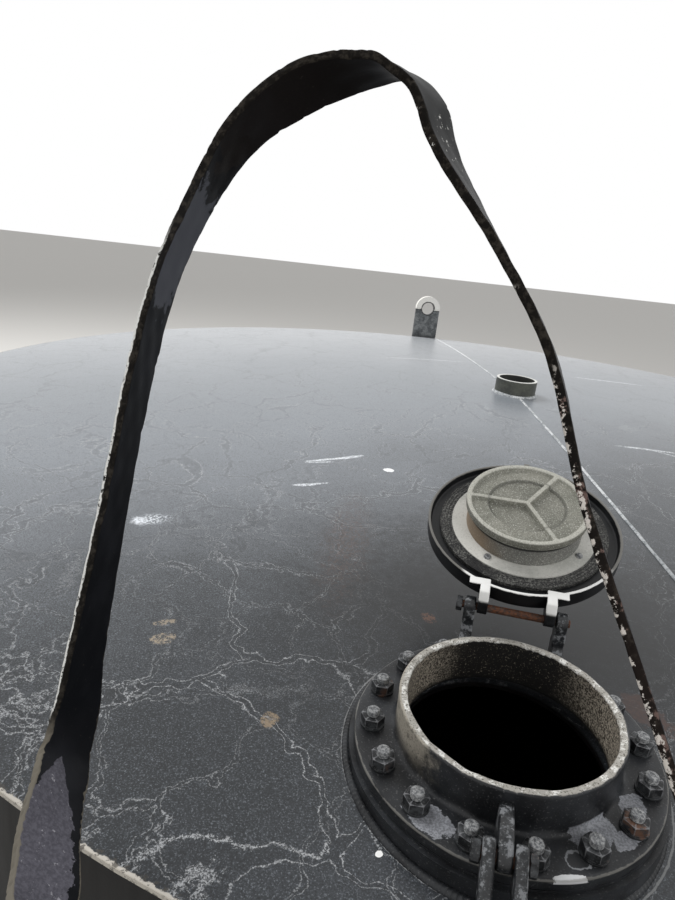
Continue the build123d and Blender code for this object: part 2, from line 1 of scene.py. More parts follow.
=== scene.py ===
from math import cos, hypot, pi, radians, sin, tau

import bmesh
import bpy
import numpy as np
from mathutils import Matrix, Vector


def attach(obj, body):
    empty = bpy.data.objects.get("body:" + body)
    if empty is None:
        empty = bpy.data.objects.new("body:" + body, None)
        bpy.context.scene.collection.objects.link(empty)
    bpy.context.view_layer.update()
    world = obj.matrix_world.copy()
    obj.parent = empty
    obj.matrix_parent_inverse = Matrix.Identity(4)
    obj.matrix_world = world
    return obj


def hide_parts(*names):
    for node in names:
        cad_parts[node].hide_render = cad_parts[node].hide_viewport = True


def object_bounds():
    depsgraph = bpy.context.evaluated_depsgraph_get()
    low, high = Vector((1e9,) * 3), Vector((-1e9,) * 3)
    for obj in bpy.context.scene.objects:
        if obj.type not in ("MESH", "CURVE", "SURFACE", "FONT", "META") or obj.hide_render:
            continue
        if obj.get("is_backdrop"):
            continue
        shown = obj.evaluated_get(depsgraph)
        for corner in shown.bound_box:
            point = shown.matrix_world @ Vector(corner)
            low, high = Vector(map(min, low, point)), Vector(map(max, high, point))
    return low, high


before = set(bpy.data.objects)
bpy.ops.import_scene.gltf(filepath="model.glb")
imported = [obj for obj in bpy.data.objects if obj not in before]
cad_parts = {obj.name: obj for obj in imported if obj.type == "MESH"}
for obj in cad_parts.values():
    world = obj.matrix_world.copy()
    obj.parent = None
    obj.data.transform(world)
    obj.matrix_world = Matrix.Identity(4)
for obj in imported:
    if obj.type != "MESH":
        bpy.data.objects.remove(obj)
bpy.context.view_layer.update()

mm = 0.001

# Camera: a phone's wide lens held above the roof's edge, fitted to the roof, its seam and the hatch
camera_place = Vector((-0.61595, -2.08313, 2.07926))
camera_yaw = 0.028274
camera_pitch = 0.323383
camera_roll = 0.111966
forward = Vector((
    sin(camera_yaw) * cos(camera_pitch),
    cos(camera_yaw) * cos(camera_pitch),
    -sin(camera_pitch),
))
level = Vector((cos(camera_yaw), -sin(camera_yaw), 0))
steep = level.cross(forward)
right = level * cos(camera_roll) + steep * sin(camera_roll)
upward = steep * cos(camera_roll) - level * sin(camera_roll)
camera = bpy.data.objects.new("camera", bpy.data.cameras.new("camera"))
camera_axes = Matrix((right, upward, -forward)).transposed().to_4x4()
camera.matrix_world = Matrix.Translation(camera_place) @ camera_axes
camera.data.sensor_width = 36
camera.data.lens = 25.908
camera.data.clip_start = 0.02
camera.data.clip_end = 200
bpy.context.scene.collection.objects.link(camera)
bpy.context.scene.camera = camera

# Sizes that the looks share with the solids
roof_radius = 1829 * mm
roof_edge = 1535 * mm
crown_rise = 106 * mm
half_way_rise = 66 * mm
shell_radius = 1819 * mm
vent_radius = 65 * mm
hatch_bearing = 14.34
hatch_reach = 1568 * mm
hatch_rim_height = 94.4 * mm
hatch_lean_out = 1.6
hatch_lean_side = 2.0
neck_radius = 117.6 * mm
neck_bore = 108.6 * mm
flange_top = -43.5 * mm
flange_foot = -55.5 * mm
flange_radius = 162 * mm
curb_radius = 167 * mm
stud_circle = 142.9 * mm
stud_count = 16
hinge_reach = 136 * mm
hinge_rise = 24.8 * mm
ear_middle = 55 * mm
lid_travel = 162.4
cap_radius = 129 * mm
latch_reach = 165 * mm
latch_drop = 24 * mm
latch_rest_angle = 25.0


def bearing_vector(bearing):
    """Horizontal unit vector at a bearing in degrees from -Y towards -X."""
    return np.array([-sin(radians(bearing)), -cos(radians(bearing)), 0.0])


def unit(way):
    """The same direction with length one."""
    return way / np.linalg.norm(way)


def put(place, points):
    """Local points in the row frame: the place's origin plus each coordinate times its axis."""
    origin, axes = place
    return origin + points @ axes


def turned(place, angle):
    """A place turned by an angle in degrees about its own y axis, x towards -z."""
    origin, (x_way, y_way, z_way) = place
    c = cos(radians(angle))
    s = sin(radians(angle))
    return origin, np.array([x_way * c - z_way * s, y_way, x_way * s + z_way * c])


up = np.array([0.0, 0.0, 1.0])
out_way = bearing_vector(hatch_bearing)
side_way = np.cross(up, out_way)
hatch_up = unit(up + out_way * sin(radians(hatch_lean_out)) - side_way * sin(radians(hatch_lean_side)))
hatch_out = unit(out_way - hatch_up * (out_way @ hatch_up))
hatch_centre = out_way * hatch_reach + up * (roof_edge + hatch_rim_height)
hatch = (hatch_centre, np.array([hatch_out, np.cross(hatch_up, hatch_out), hatch_up]))
hinge = (put(hatch, np.array([-hinge_reach, 0, hinge_rise])), hatch[1])
hinge_open = turned(hinge, -lid_travel)
lid = (put(hinge_open, np.array([hinge_reach, 0, -hinge_rise])), hinge_open[1])
latch_pivot = (put(hatch, np.array([latch_reach, 0, -latch_drop])), hatch[1])
latch = turned(latch_pivot, latch_rest_angle)


def roof_height(reach):
    """Height of the roof's outer face: the circle through the crown, the half way point and the edge."""
    bend = np.array([
        [roof_radius / 2, half_way_rise - crown_rise],
        [roof_radius, -crown_rise],
    ])
    centre = np.linalg.solve(2 * bend, (bend**2).sum(axis=1))
    radius = np.hypot(*centre)
    return roof_edge + crown_rise + centre[1] + np.sqrt(radius**2 - (reach - centre[0]) ** 2)


def waves(points, length, seed):
    """Soft unevenness of about -1 to 1: eight sine waves of one length in seeded directions, averaged."""
    draw = np.random.default_rng(seed)
    ways = draw.normal(size=(8, 3))
    ways /= np.linalg.norm(ways, axis=1, keepdims=True)
    phases = draw.uniform(0, tau, 8)
    return 2 * np.sin(points @ ways.T * tau / length + phases).mean(axis=-1)


def rounded(corners, radii, steps=5, closed=True):
    """Outline with eased corners: C + (1-t)^2 a + t^2 b, where a and b reach from C along its sides."""
    corners = np.asarray(corners, float)
    radii = np.array(np.broadcast_to(radii, len(corners)), float)
    if not closed:
        radii[[0, -1]] = 0
    reaches = []
    for shift in (1, -1):
        way = np.roll(corners, shift, axis=0) - corners
        length = np.linalg.norm(way, axis=1)
        reaches.append(way * (np.minimum(radii, 0.45 * length) / length)[:, None])
    t = np.linspace(0, 1, steps)[:, None, None]
    points = corners + (1 - t) ** 2 * reaches[0] + t**2 * reaches[1]
    return points.transpose(1, 0, 2).reshape(-1, 2)


def divided(outline, spacing, closed=True):
    """The outline's own points, with more put evenly on every run that is longer than the spacing."""
    ends = np.roll(outline, -1, axis=0) if closed else np.vstack([outline[1:], outline[-1:]])
    counts = np.maximum(np.ceil(np.linalg.norm(ends - outline, axis=1) / spacing), 1).astype(int)
    starts = np.repeat(np.arange(len(outline)), counts)
    steps = np.arange(counts.sum()) - np.repeat(np.cumsum(counts) - counts, counts)
    share = (steps / counts[starts])[:, None]
    return outline[starts] * (1 - share) + ends[starts] * share


def skin(name, grid, material, body, slot, stands_for=(), rows_close=False, columns_close=False,
         ends=False, marks=None):
    """Mesh of one grid of points or a stack of them: neighbours make faces, and a closed way joins up."""
    grids = grid.reshape(-1, *grid.shape[-3:])
    count, rows, columns, _ = grids.shape
    index = np.arange(count * rows * columns).reshape(count, rows, columns)
    caps = index[:, [0, -1]].reshape(-1, columns).tolist() if ends else []
    if rows_close:
        index = np.concatenate([index, index[:, :1]], axis=1)
    if columns_close:
        index = np.concatenate([index, index[:, :, :1]], axis=2)
    corners = [index[:, :-1, :-1], index[:, 1:, :-1], index[:, 1:, 1:], index[:, :-1, 1:]]
    faces = np.stack(corners, axis=-1).reshape(-1, 4).tolist()
    mesh = bpy.data.meshes.new(name)
    mesh.from_pydata(grids.reshape(-1, 3), [], faces + caps)
    for mark, values in (marks or {}).items():
        values = np.broadcast_to(values, grids.shape[:3]).astype(np.float32)
        mesh.attributes.new(mark, "FLOAT", "POINT").data.foreach_set("value", values.ravel())
    shape = bmesh.new()
    shape.from_mesh(mesh)
    bmesh.ops.remove_doubles(shape, verts=shape.verts, dist=1e-6)
    bmesh.ops.recalc_face_normals(shape, faces=shape.faces)
    shape.to_mesh(mesh)
    shape.free()
    mesh.shade_smooth()
    mesh.set_sharp_from_angle(angle=radians(50))
    mesh.materials.append(material)
    piece = bpy.data.objects.new(name, mesh)
    bpy.context.scene.collection.objects.link(piece)
    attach(piece, body)
    if stands_for:
        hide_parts(*stands_for)


# Ways in which a grid closes: into a ring, or into a bar with capped ends
ringed = {"rows_close": True, "columns_close": True}
capped = {"columns_close": True, "ends": True}


def round_grid(profile, steps):
    """A profile of radius and height carried round z: (r cos a, r sin a, h)."""
    angle = np.linspace(0, tau, steps, endpoint=False)
    radius = profile[:, 0, None]
    height = np.broadcast_to(profile[:, 1, None], (len(profile), steps))
    return np.stack([radius * np.cos(angle), radius * np.sin(angle), height], axis=-1)


def slab_grid(outline, low, high, bevel, steps=4):
    """An outline in x and z given a thickness along y, drawn inwards round each edge by a quarter circle."""
    ahead = np.roll(outline, -1, axis=0) - np.roll(outline, 1, axis=0)
    normal = np.stack([ahead[:, 1], -ahead[:, 0]], axis=1)
    normal /= np.linalg.norm(normal, axis=1, keepdims=True) + 1e-12
    x, z = outline.T
    area = (x * np.roll(z, -1) - np.roll(x, -1) * z).sum()
    normal *= np.sign(area)
    turn = np.linspace(0, pi / 2, steps)
    inset = bevel * (1 - np.sin(turn))
    depth = bevel * (1 - np.cos(turn))
    insets = np.concatenate([inset, inset[::-1]])
    levels = np.concatenate([low + depth, high - depth[::-1]])
    flat = outline - insets[:, None, None] * normal
    across = np.broadcast_to(levels[:, None], flat.shape[:2])
    return np.stack([flat[..., 0], across, flat[..., 1]], axis=-1)


def eased(rows, steps, spacing=None, closed=True):
    """An outline in metres from rows of two coordinates and a corner radius in mm, eased and divided."""
    rows = np.array(rows) * mm
    outline = rounded(rows[:, :2], rows[:, 2], steps, closed)
    return divided(outline, spacing, closed) if spacing else outline


def plate(name, place, rows, low, high, bevel, finish, body, stands_for=(), spacing=3 * mm, uneven=0.0):
    """A slab cut to an outline: rows hold x, z and corner radius in mm, and low and high span its y."""
    low, high = sorted((low, high))
    grid = slab_grid(eased(rows, 5, spacing), low, high, bevel)
    grid += uneven * waves(grid, 16 * mm, 31)[..., None]
    skin(name, put(place, grid), finish, body, "black_enamel", stands_for, **capped)


def bead_grid(path, normals, radius, ripple, pitch, seed, steps=9):
    """Half-round weld bead on a path: radius r(1 + ripple), the ripple following each pool's curved edge."""
    ahead = np.gradient(path, axis=0)
    ahead /= np.linalg.norm(ahead, axis=1, keepdims=True)
    across = np.cross(ahead, normals)
    across /= np.linalg.norm(across, axis=1, keepdims=True)
    length = np.concatenate([[0], np.cumsum(np.linalg.norm(np.diff(path, axis=0), axis=1))])
    angle = np.linspace(0, pi, steps)
    phase = length[:, None] / pitch + 0.35 * np.sin(angle)
    pools = np.abs((phase % 1) - 0.5) * 2
    soft = waves(path, 14 * pitch, seed)[:, None]
    reach = radius * (1 + ripple * pools**2 + 0.12 * soft)
    return (
        path[:, None]
        + (reach * np.cos(angle))[..., None] * across[:, None]
        + (reach * np.sin(angle) * 0.8)[..., None] * normals[:, None]
    )


def hex_colour(code):
    """An sRGB hex colour as linear red, green, blue and alpha."""
    parts = np.array([int(code[k : k + 2], 16) for k in (0, 2, 4)]) / 255
    linear = np.where(parts <= 0.04045, parts / 12.92, ((parts + 0.055) / 1.055) ** 2.4)
    return (*linear, 1.0)


def add(tree, kind, *inputs, output=None, **settings):
    """Adds a node: its settings, then values or links for its shown inputs in order. Gives one output."""
    made = tree.nodes.new("ShaderNode" + kind)
    for key, value in settings.items():
        setattr(made, key, value)
    for socket, value in zip([socket for socket in made.inputs if socket.enabled], inputs):
        if isinstance(value, bpy.types.NodeSocket):
            tree.links.new(value, socket)
        else:
            socket.default_value = value
    shown = {socket.name: socket for socket in made.outputs if socket.enabled}
    return shown[output] if output else next(iter(shown.values()))


# Settings that many nodes share
times = {"operation": "MULTIPLY"}
plus = {"operation": "ADD"}
times_plus = {"operation": "MULTIPLY_ADD"}
most = {"operation": "MAXIMUM"}
absolute = {"operation": "ABSOLUTE"}
length_of = {"operation": "LENGTH"}
smooth = {"interpolation_type": "SMOOTHSTEP"}


def cover(tree, colour, layers):
    """Colour under layers. Each comes in as its pattern goes between its two levels, or from 0 to 1."""
    for pattern, *levels, strength, over in layers:
        low, high = levels or (0.0, 1.0)
        share = add(tree, "MapRange", pattern, low, high, 0.0, strength, **smooth)
        colour, over = (hex_colour(code) if isinstance(code, str) else code for code in (colour, over))
        colour = add(tree, "Mix", share, colour, over, data_type="RGBA")
    return colour


def where(tree, share, pattern, start_level, full_level):
    """The share, kept as far as the pattern has gone from start to full."""
    gate = add(tree, "MapRange", pattern, start_level, full_level)
    return add(tree, "Math", share, gate, **times)


def spot(tree, points, centre, half_sizes, turn, ragged, soft=0.07):
    """Share of 1 inside an ellipse: its scaled distance, pushed in and out by the ragged noise, under 1."""
    sizes = (*half_sizes, 0.2)
    local = add(tree, "Mapping", points, centre, (0, 0, radians(turn)), sizes, vector_type="TEXTURE")
    reach = add(tree, "VectorMath", local, **length_of)
    pushed = add(tree, "Math", ragged, 1.4, reach, **times_plus)
    return add(tree, "MapRange", pushed, 1.7 + soft, 1.7 - soft, **smooth)


def start(name, *noises):
    """A new material with its tree, its shader, its points and its noises of a size in mm and detail."""
    material = bpy.data.materials.new(name)
    material.use_nodes = True
    tree = material.node_tree
    points = add(tree, "TexCoord", output="Object")
    patterns = [add(tree, "TexNoise", points, 1 / (size * mm), *detail) for size, *detail in noises]
    return material, tree, tree.nodes["Principled BSDF"], points, *patterns


def local_points(tree, points, place):
    """Points of a local frame, by a Mapping node that undoes the frame's turn and place."""
    origin, axes = place
    turn = Matrix(axes.T.tolist()).to_euler("XYZ")
    return add(tree, "Mapping", points, tuple(origin), tuple(turn), vector_type="TEXTURE")


def reach_of(tree, points):
    """Distance of points from their own z axis."""
    flat = add(tree, "VectorMath", points, (1, 1, 0), **times)
    return add(tree, "VectorMath", flat, **length_of)


def finish_shader(tree, shader, colour, roughness, height, depth, strength, metallic=0.0, specular=0.5):
    """Links colour, roughness and a bump with its depth in metres. A pair of roughnesses follows the bump."""
    if isinstance(roughness, tuple):
        roughness = add(tree, "MapRange", height, 0.3, 0.7, *roughness)
    tree.links.new(colour, shader.inputs["Base Color"])
    tree.links.new(roughness, shader.inputs["Roughness"])
    bump = add(tree, "Bump", strength, depth)
    tree.links.new(height, bump.node.inputs["Height"])
    tree.links.new(bump, shader.inputs["Normal"])
    shader.inputs["Metallic"].default_value = metallic
    shader.inputs["Specular IOR Level"].default_value = specular


# Roof paint: a grey-black industrial alkyd, satin when new, chalked and rain-marked since. Dried puddles
# leave fretted double lines round them, and the sheared rim is bare and bright. Frost lies in fine grains,
# and the paler colour that grows towards the far left is part frost and part painted sheen, the sky's
# reflection at grazing angles. A painted shadow darkens the roof under and beside the open lid, and
# painted shade blackens it inside the hatch's bore.
roof_paint, tree, shader, points, grain, fine, cloud, ragged, fretted, speckle = start(
    "chalked_alkyd_roof_paint", (1.9, 2, 0.8), (7, 4, 0.75), (420, 5, 0.62), (16, 5, 0.7), (11, 6, 0.9),
    (5, 3, 0.8))
# Painted sheen with frost: paler towards the far left, standing in for the sky's reflection at grazing angles
frost_and_painted_sheen = add(tree, "VectorMath", points, (-0.45, 0.90, 0.0), operation="DOT_PRODUCT")
frost_and_painted_sheen = add(tree, "Math", cloud, 0.5, frost_and_painted_sheen, **times_plus)
frost_and_painted_sheen = add(tree, "Math", grain, 0.6, frost_and_painted_sheen, **times_plus)
colour = cover(tree, "25282b", [
    (cloud, 0.36, 0.66, 1.0, "313438"),
    (frost_and_painted_sheen, -0.50, 0.50, 0.58, "a7adb4"),
    (frost_and_painted_sheen, 0.40, 2.30, 0.58, "c4c6c8"),
    (grain, 0.54, 0.70, 0.50, "8c9299"),
    (grain, 0.48, 0.32, 0.70, "0c0d0f"),
    (fine, 0.55, 0.66, 0.20, "5f646a"),
    (fine, 0.45, 0.34, 0.28, "15171a"),
])
# Puddle edges. Columns: puddle size, how far they wander, mid-line of the fretted border, strength, seed
puddle_table = (
    (250 * mm, 0.40, 11 * mm, 0.80, (0.0, 0.0, 0.0)),
    (120 * mm, 0.22, 9 * mm, 0.60, (5.3, 2.9, 0.0)),
)
line_share = 0.0
for size, wander, border, strength, seed in puddle_table:
    moved = add(tree, "VectorMath", points, seed, **plus)
    bend = add(tree, "TexNoise", moved, 0.6 / size, 5, 0.62, output="Color")
    warped = add(tree, "VectorMath", bend, (wander, wander, 0.0), moved, **times_plus)
    edge = add(tree, "TexVoronoi", warped, 1 / size, feature="DISTANCE_TO_EDGE")
    reach = add(tree, "Math", fretted, 12 * mm / size, edge, **times_plus)
    off = add(tree, "Math", reach, -border / size, **plus)
    off = add(tree, "Math", off, **absolute)
    line = add(tree, "MapRange", off, 1.2 * mm / size, 0.2 * mm / size, **smooth)
    seen = add(tree, "TexNoise", moved, 1 / (230 * mm), 3)
    seen = add(tree, "MapRange", seen, 0.36, 0.54, 0.30, strength, **smooth)
    line_share = add(tree, "Math", add(tree, "Math", line, seen, **times), line_share, **most)
    colour = cover(tree, colour, [(reach, border / size, (border - 4 * mm) / size, 0.20, "141517")])
broken = add(tree, "MapRange", grain, 0.36, 0.56)
line_share = add(tree, "Math", line_share, broken, **times)
colour = cover(tree, colour, [(line_share, 1.0, "b4b6b8")])
# Marks. Columns: x, y, half length, half width, turn, softness, how far the grain breaks it, strength, colour
roof_marks = (
    # The first mark is a painted shadow under and beside the open lid
    (-0.270, -1.230, 0.300, 0.230, 0, 1.00, 0.0, 0.90, "0c0d0e"),
    (-0.794, -1.363, 0.016, 0.012, 20, 0.15, 0.85, 0.9, "9c8f7c"),
    (-0.801, -1.331, 0.016, 0.006, 14, 0.20, 0.90, 0.8, "9c8f7c"),
    (-0.641, -1.488, 0.010, 0.012, 3, 0.15, 0.70, 0.9, "877762"),
    (-0.436, -1.281, 0.010, 0.012, 35, 0.25, 0.90, 0.7, "6b4a38"),
    (-0.590, -0.722, 0.055, 0.005, 22, 0.30, 0.60, 1.0, "e4e8ec"),
    (-0.545, -0.702, 0.030, 0.007, 30, 0.30, 0.55, 0.9, "dfe3e8"),
    (-0.615, -0.744, 0.030, 0.004, 14, 0.30, 0.70, 0.8, "dfe3e8"),
    (-0.640, -0.868, 0.022, 0.006, 12, 0.30, 0.60, 0.9, "dfe3e8"),
    (-0.612, -0.858, 0.020, 0.004, 20, 0.30, 0.70, 0.9, "dfe3e8"),
    (-0.915, -1.057, 0.013, 0.014, 12, 0.50, 0.50, 1.0, "e4e8ee"),
    (-0.897, -1.050, 0.026, 0.016, 12, 0.90, 1.00, 0.9, "dfe4ea"),
    (-0.464, -0.761, 0.012, 0.010, 0, 0.05, 0.10, 1.0, "f2f4f4"),
    (-0.226, 0.598, 0.190, 0.010, 14, 0.30, 0.80, 0.7, "d8dadc"),
    (0.243, -0.449, 0.090, 0.006, 0, 0.30, 0.75, 0.9, "e0e4e8"),
    (0.350, -0.500, 0.120, 0.005, -28, 0.30, 0.85, 0.8, "d0d4d8"),
    (0.566, 0.602, 0.160, 0.012, 10, 0.30, 0.80, 0.8, "e0e4e8"),
    (-0.524, -1.637, 0.0035, 0.003, 30, 0.05, 0.0, 1.0, "f4f4f2"),
    (-0.555, -1.078, 0.035, 0.150, -6, 1.00, 1.00, 0.5, "55423a"),
    (-0.190, -1.430, 0.030, 0.022, -60, 0.15, 0.40, 0.85, "4a332b"),
    (-0.150, -1.480, 0.045, 0.016, -50, 0.30, 0.70, 0.70, "4a332b"),
)
for x, y, half_length, half_width, turn, soft, broken, strength, code in roof_marks:
    centre = (x, y, float(roof_height(hypot(x, y))))
    mark = spot(tree, points, centre, (half_length, half_width), turn, ragged, soft)
    left = add(tree, "MapRange", speckle, 0.47, 0.54, 1 - broken, 1.0)
    colour = cover(tree, colour, [(add(tree, "Math", mark, left, **times), strength, code)])
from_hatch = reach_of(tree, local_points(tree, points, hatch))
curb_line = add(tree, "Math", ragged, 4 * mm, from_hatch, **times_plus)
curb_line = add(tree, "Math", curb_line, -curb_radius - 9 * mm, **plus)
curb_line = add(tree, "Math", curb_line, **absolute)
reach = reach_of(tree, points)
worn = add(tree, "Math", ragged, 12 * mm, reach, **times_plus)
colour = cover(tree, colour, [
    (curb_line, 1.3 * mm, 0.7 * mm, 0.6, "9a9b9b"),
    # Painted shade: the roof black inside the hatch's bore
    (from_hatch, neck_bore + 8 * mm, neck_bore + 4 * mm, 1.0, "090808"),
    (worn, roof_radius + 1.8 * mm, roof_radius + 3.0 * mm, 1.0, "beb9b0"),
    (reach, roof_radius - 1.2 * mm, roof_radius - 0.6 * mm, 0.9, "a9a398"),
])
flecks = add(tree, "MapRange", reach, roof_radius - 9 * mm, roof_radius - 6 * mm)
flecks = where(tree, flecks, fine, 0.48, 0.40)
colour = cover(tree, colour, [(flecks, 0.8, "3f3b35")])
roughness = add(tree, "MapRange", grain, 0.3, 0.7, 0.28, 0.40)
roughness = add(tree, "Math", line_share, 0.3, roughness, **times_plus)
finish_shader(tree, shader, colour, roughness, fine, 0.2 * mm, 0.3)

# Shell paint: the same alkyd, with rain streaks and road dust near its foot. Its near-black colour is partly
# painted shade, and painted shade blackens it further over its top 0.4 m, under the roof's edge
shell_paint, tree, shader, points, cloud, grain = start(
    "weathered_alkyd_shell_paint", (300, 4), (3, 2, 0.7))
tall = add(tree, "Mapping", points, (0, 0, 0), (0, 0, 0), (1.0, 1.0, 0.12))
streak = add(tree, "TexNoise", tall, 1 / (60 * mm), 5, 0.65)
height = add(tree, "SeparateXYZ", points, output="Z")
splash = add(tree, "Math", cloud, -0.25, height, **times_plus)
# Near-black base, partly painted shade
colour = cover(tree, "131315", [
    (cloud, 0.35, 0.70, 1.0, "1f1f20"),
    (streak, 0.52, 0.76, 0.35, "45433f"),
    (grain, 0.58, 0.76, 0.25, "5f5e5c"),
    (splash, 0.15, -0.08, 0.70, "6e6354"),
    # Painted shade: darker over the top 0.4 m, under the roof's edge
    (height, roof_edge - 0.40, roof_edge, 0.9, "080707"),
])
roughness = add(tree, "MapRange", streak, 0.3, 0.7, 0.40, 0.58)
finish_shader(tree, shader, colour, roughness, grain, 0.2 * mm, 0.3, specular=0.12)

# Weld bead: painted over with the plate and chalked along its crown. A painted sheen makes it paler towards
# its far end, and painted shade makes it darker towards its near end, on the hatch's side
weld_finish, tree, shader, points, grain, patch = start("chalked_weld_bead", (5, 4, 0.7), (40, 3))
along_seam = add(tree, "SeparateXYZ", points, output="Y")
colour = cover(tree, "7d8184", [
    (grain, 0.40, 0.60, 1.0, "c6c9cb"),
    (patch, 0.48, 0.62, 0.6, "e4e6e7"),
    # Painted sheen: paler towards the far end; painted shade: darker towards the near end
    (along_seam, 0.20, 1.00, 0.5, "f4f5f5"),
    (along_seam, -0.75, -1.20, 0.60, "6a6e71"),
])
finish_shader(tree, shader, colour, (0.48, 0.66), grain, 0.3 * mm, 0.5)

# Hoop: black enamel brushed on hot-rolled flat bar. Its edges are rubbed to dark rust. A broken white line
# runs along the edge of the left leg and arch that faces the light, and pale flecks along the right leg's,
# both part white chips and part painted highlight. A flake at its left foot is open to bluish primer.
hoop_enamel, tree, shader, points, ragged, chips, pits, cloud = start(
    "chipped_black_enamel_on_flat_bar", (14, 6, 0.68), (7, 5, 0.72), (3, 3, 0.7), (60, 4))
along = add(tree, "Attribute", attribute_name="along", output="Fac")
across = add(tree, "Attribute", attribute_name="across", output="Fac")
from_middle = add(tree, "Attribute", attribute_name="thickness", output="Fac")
on_bar = add(tree, "CombineXYZ", along, across)
lower_right = add(tree, "Math", cloud, 0.6, along, **times_plus)
colour = cover(tree, "101114", [(cloud, 0.45, 0.72, 1.0, "1b1c20")])
# Worn places on the bar. Columns: along, across, half length, half width, strength, colour
bar_patches = (
    (0.685, 0.004, 0.060, 0.034, 0.95, "484a51"),
    (0.760, -0.004, 0.034, 0.016, 0.9, "08080a"),
    (0.860, 0.000, 0.110, 0.040, 0.6, "1d1917"),
    (1.030, 0.000, 0.100, 0.045, 0.9, "08090a"),
)
for middle, aside, half_length, half_width, strength, code in bar_patches:
    mark = spot(tree, on_bar, (middle, aside, 0), (half_length, half_width), 0, ragged)
    colour = cover(tree, colour, [(mark, strength, code)])
colour = cover(tree, colour, [(pits, 0.66, 0.76, 0.35, "5d5850")])
# The flake's pointed outline: along plus 2.4 times the distance from its own middle line stays under a limit
off = add(tree, "Math", add(tree, "Math", across, -6.4 * mm, **plus), **absolute)
tip = add(tree, "Math", off, 2.4, along, **times_plus)
tip = add(tree, "Math", ragged, 30 * mm, tip, **times_plus)
side = add(tree, "Math", ragged, 28 * mm, across, **times_plus)
flake = add(tree, "MapRange", tip, 0.2405, 0.2385)
flake = where(tree, flake, side, -3.6 * mm, -3.0 * mm)
primer = cover(tree, "4b4a51", [
    (pits, 0.36, 0.66, 1.0, "5d5c64"),
    (chips, 0.62, 0.67, 0.8, "9d9ca2"),
])
colour = cover(tree, colour, [(flake, 1.0, primer)])
edge = add(tree, "Math", across, **absolute)
edge = add(tree, "Math", ragged, 5 * mm, edge, **times_plus)
bare = add(tree, "MapRange", edge, 25.6 * mm, 26.4 * mm)
rubbed = where(tree, ragged, lower_right, 1.55, 1.62)
rust = cover(tree, "161412", [
    (chips, 0.46, 0.62, 0.8, "38342f"),
    (lower_right, 1.62, 1.80, 0.35, "2c2320"),
    (rubbed, 0.53, 0.58, 0.65, "7b6660"),
    (along, 0.27, 0.22, 0.9, "6f6a60"),
])
colour = cover(tree, colour, [(bare, 0.95, rust)])
# White chips and painted highlight along the edge that faces the light
line = add(tree, "Math", chips, 5 * mm, from_middle, **times_plus)
line = add(tree, "MapRange", line, 1.6 * mm, 1.0 * mm)
line = where(tree, line, across, 22.6 * mm, 23.4 * mm)
for low, high in ((0.25, 0.28), (0.70, 0.66)):
    line = where(tree, line, along, low, high)
line = where(tree, line, chips, 0.40, 0.44)
# Pale flecks on the right leg's edge that faces the light: chips and painted highlight
flecks = add(tree, "Math", ragged, 16 * mm, from_middle, **times_plus)
flecks = add(tree, "MapRange", flecks, 8.4 * mm, 9.0 * mm)
flecks = where(tree, flecks, chips, 0.51, 0.54)
flecks = where(tree, flecks, lower_right, 1.51, 1.55)
flecks = where(tree, flecks, across, 22.5 * mm, 23.5 * mm)
flecks = where(tree, flecks, along, 1.04, 1.10)
specks = where(tree, chips, along, 0.94, 0.98)
specks = where(tree, specks, along, 1.08, 1.04)
colour = cover(tree, colour, [(specks, 0.63, 0.65, 0.9, "d8d8d4")])
colour = cover(tree, colour, [(line, 0.95, "e6e6e2"), (flecks, 0.9, "d5cfc8")])
laid_bare = add(tree, "Math", bare, flake, **most)
roughness = add(tree, "Math", laid_bare, 0.2, 0.42, **times_plus)
depth = add(tree, "Math", laid_bare, -1.0, add(tree, "Math", pits, 0.4, **times), **times_plus)
finish_shader(tree, shader, colour, roughness, depth, 0.4 * mm, 0.7, specular=0.05)

# Hatch casting: cast iron under satin black enamel. The machined rim is bare and freckled with rust, and the
# flange is chipped to grey primer. Painted light lies tan-grey on the neck's left flank, and the bore is
# painted shade, blacker with depth, with painted light paling the rust scale on its side walls.
hatch_enamel, tree, shader, points, grain, ragged, cloud = start(
    "satin_black_enamel_on_cast_iron", (2.2, 3, 0.7), (12, 6, 0.7), (50, 4))
local = local_points(tree, points, hatch)
side = add(tree, "SeparateXYZ", local, output="Y")
height = add(tree, "SeparateXYZ", local, output="Z")
reach = reach_of(tree, local)
colour = cover(tree, "17181a", [
    (cloud, 0.38, 0.66, 1.0, "2d2f32"),
    (grain, 0.58, 0.72, 0.4, "8a8a8a"),
])
primer = cover(tree, "6f7176", [(grain, 0.40, 0.60, 1.0, "93959a")])
# Chips. Columns: reach from the middle, angle from the outward side, half sizes, turn, what lies bare
chips_to_primer = (
    (124.3, 40.3, 26, 18, 125, primer),
    (134.0, 66.0, 17, 12, 160, primer),
    (144.6, 50.7, 20, 9, 140, primer),
    (143.5, -27.5, 25, 15, 62, primer),
    (145.8, 26.6, 12, 9, 110, "85878a"),
    (145.8, 26.6, 10, 7, 110, "2a2b2d"),
    (160.5, 21.5, 17, 4, 111, "d8d9da"),
)
on_flange = add(tree, "MapRange", height, flange_top + 6 * mm, flange_top + 4 * mm)
on_flange = where(tree, on_flange, height, flange_top - 5 * mm, flange_top - 4 * mm)
for distance, angle, half_length, half_width, turn, below in chips_to_primer:
    centre = (distance * mm * cos(radians(angle)), distance * mm * sin(radians(angle)), flange_top)
    mark = spot(tree, local, centre, (half_length * mm, half_width * mm), turn, ragged, 0.04)
    mark = add(tree, "Math", mark, on_flange, **times)
    colour = cover(tree, colour, [(mark, 1.0, below)])
worn = add(tree, "Math", ragged, 4 * mm, reach, **times_plus)
worn = add(tree, "MapRange", worn, flange_radius + 0.4 * mm, flange_radius + 1.2 * mm)
worn = where(tree, worn, height, -46.4 * mm, -45.4 * mm)
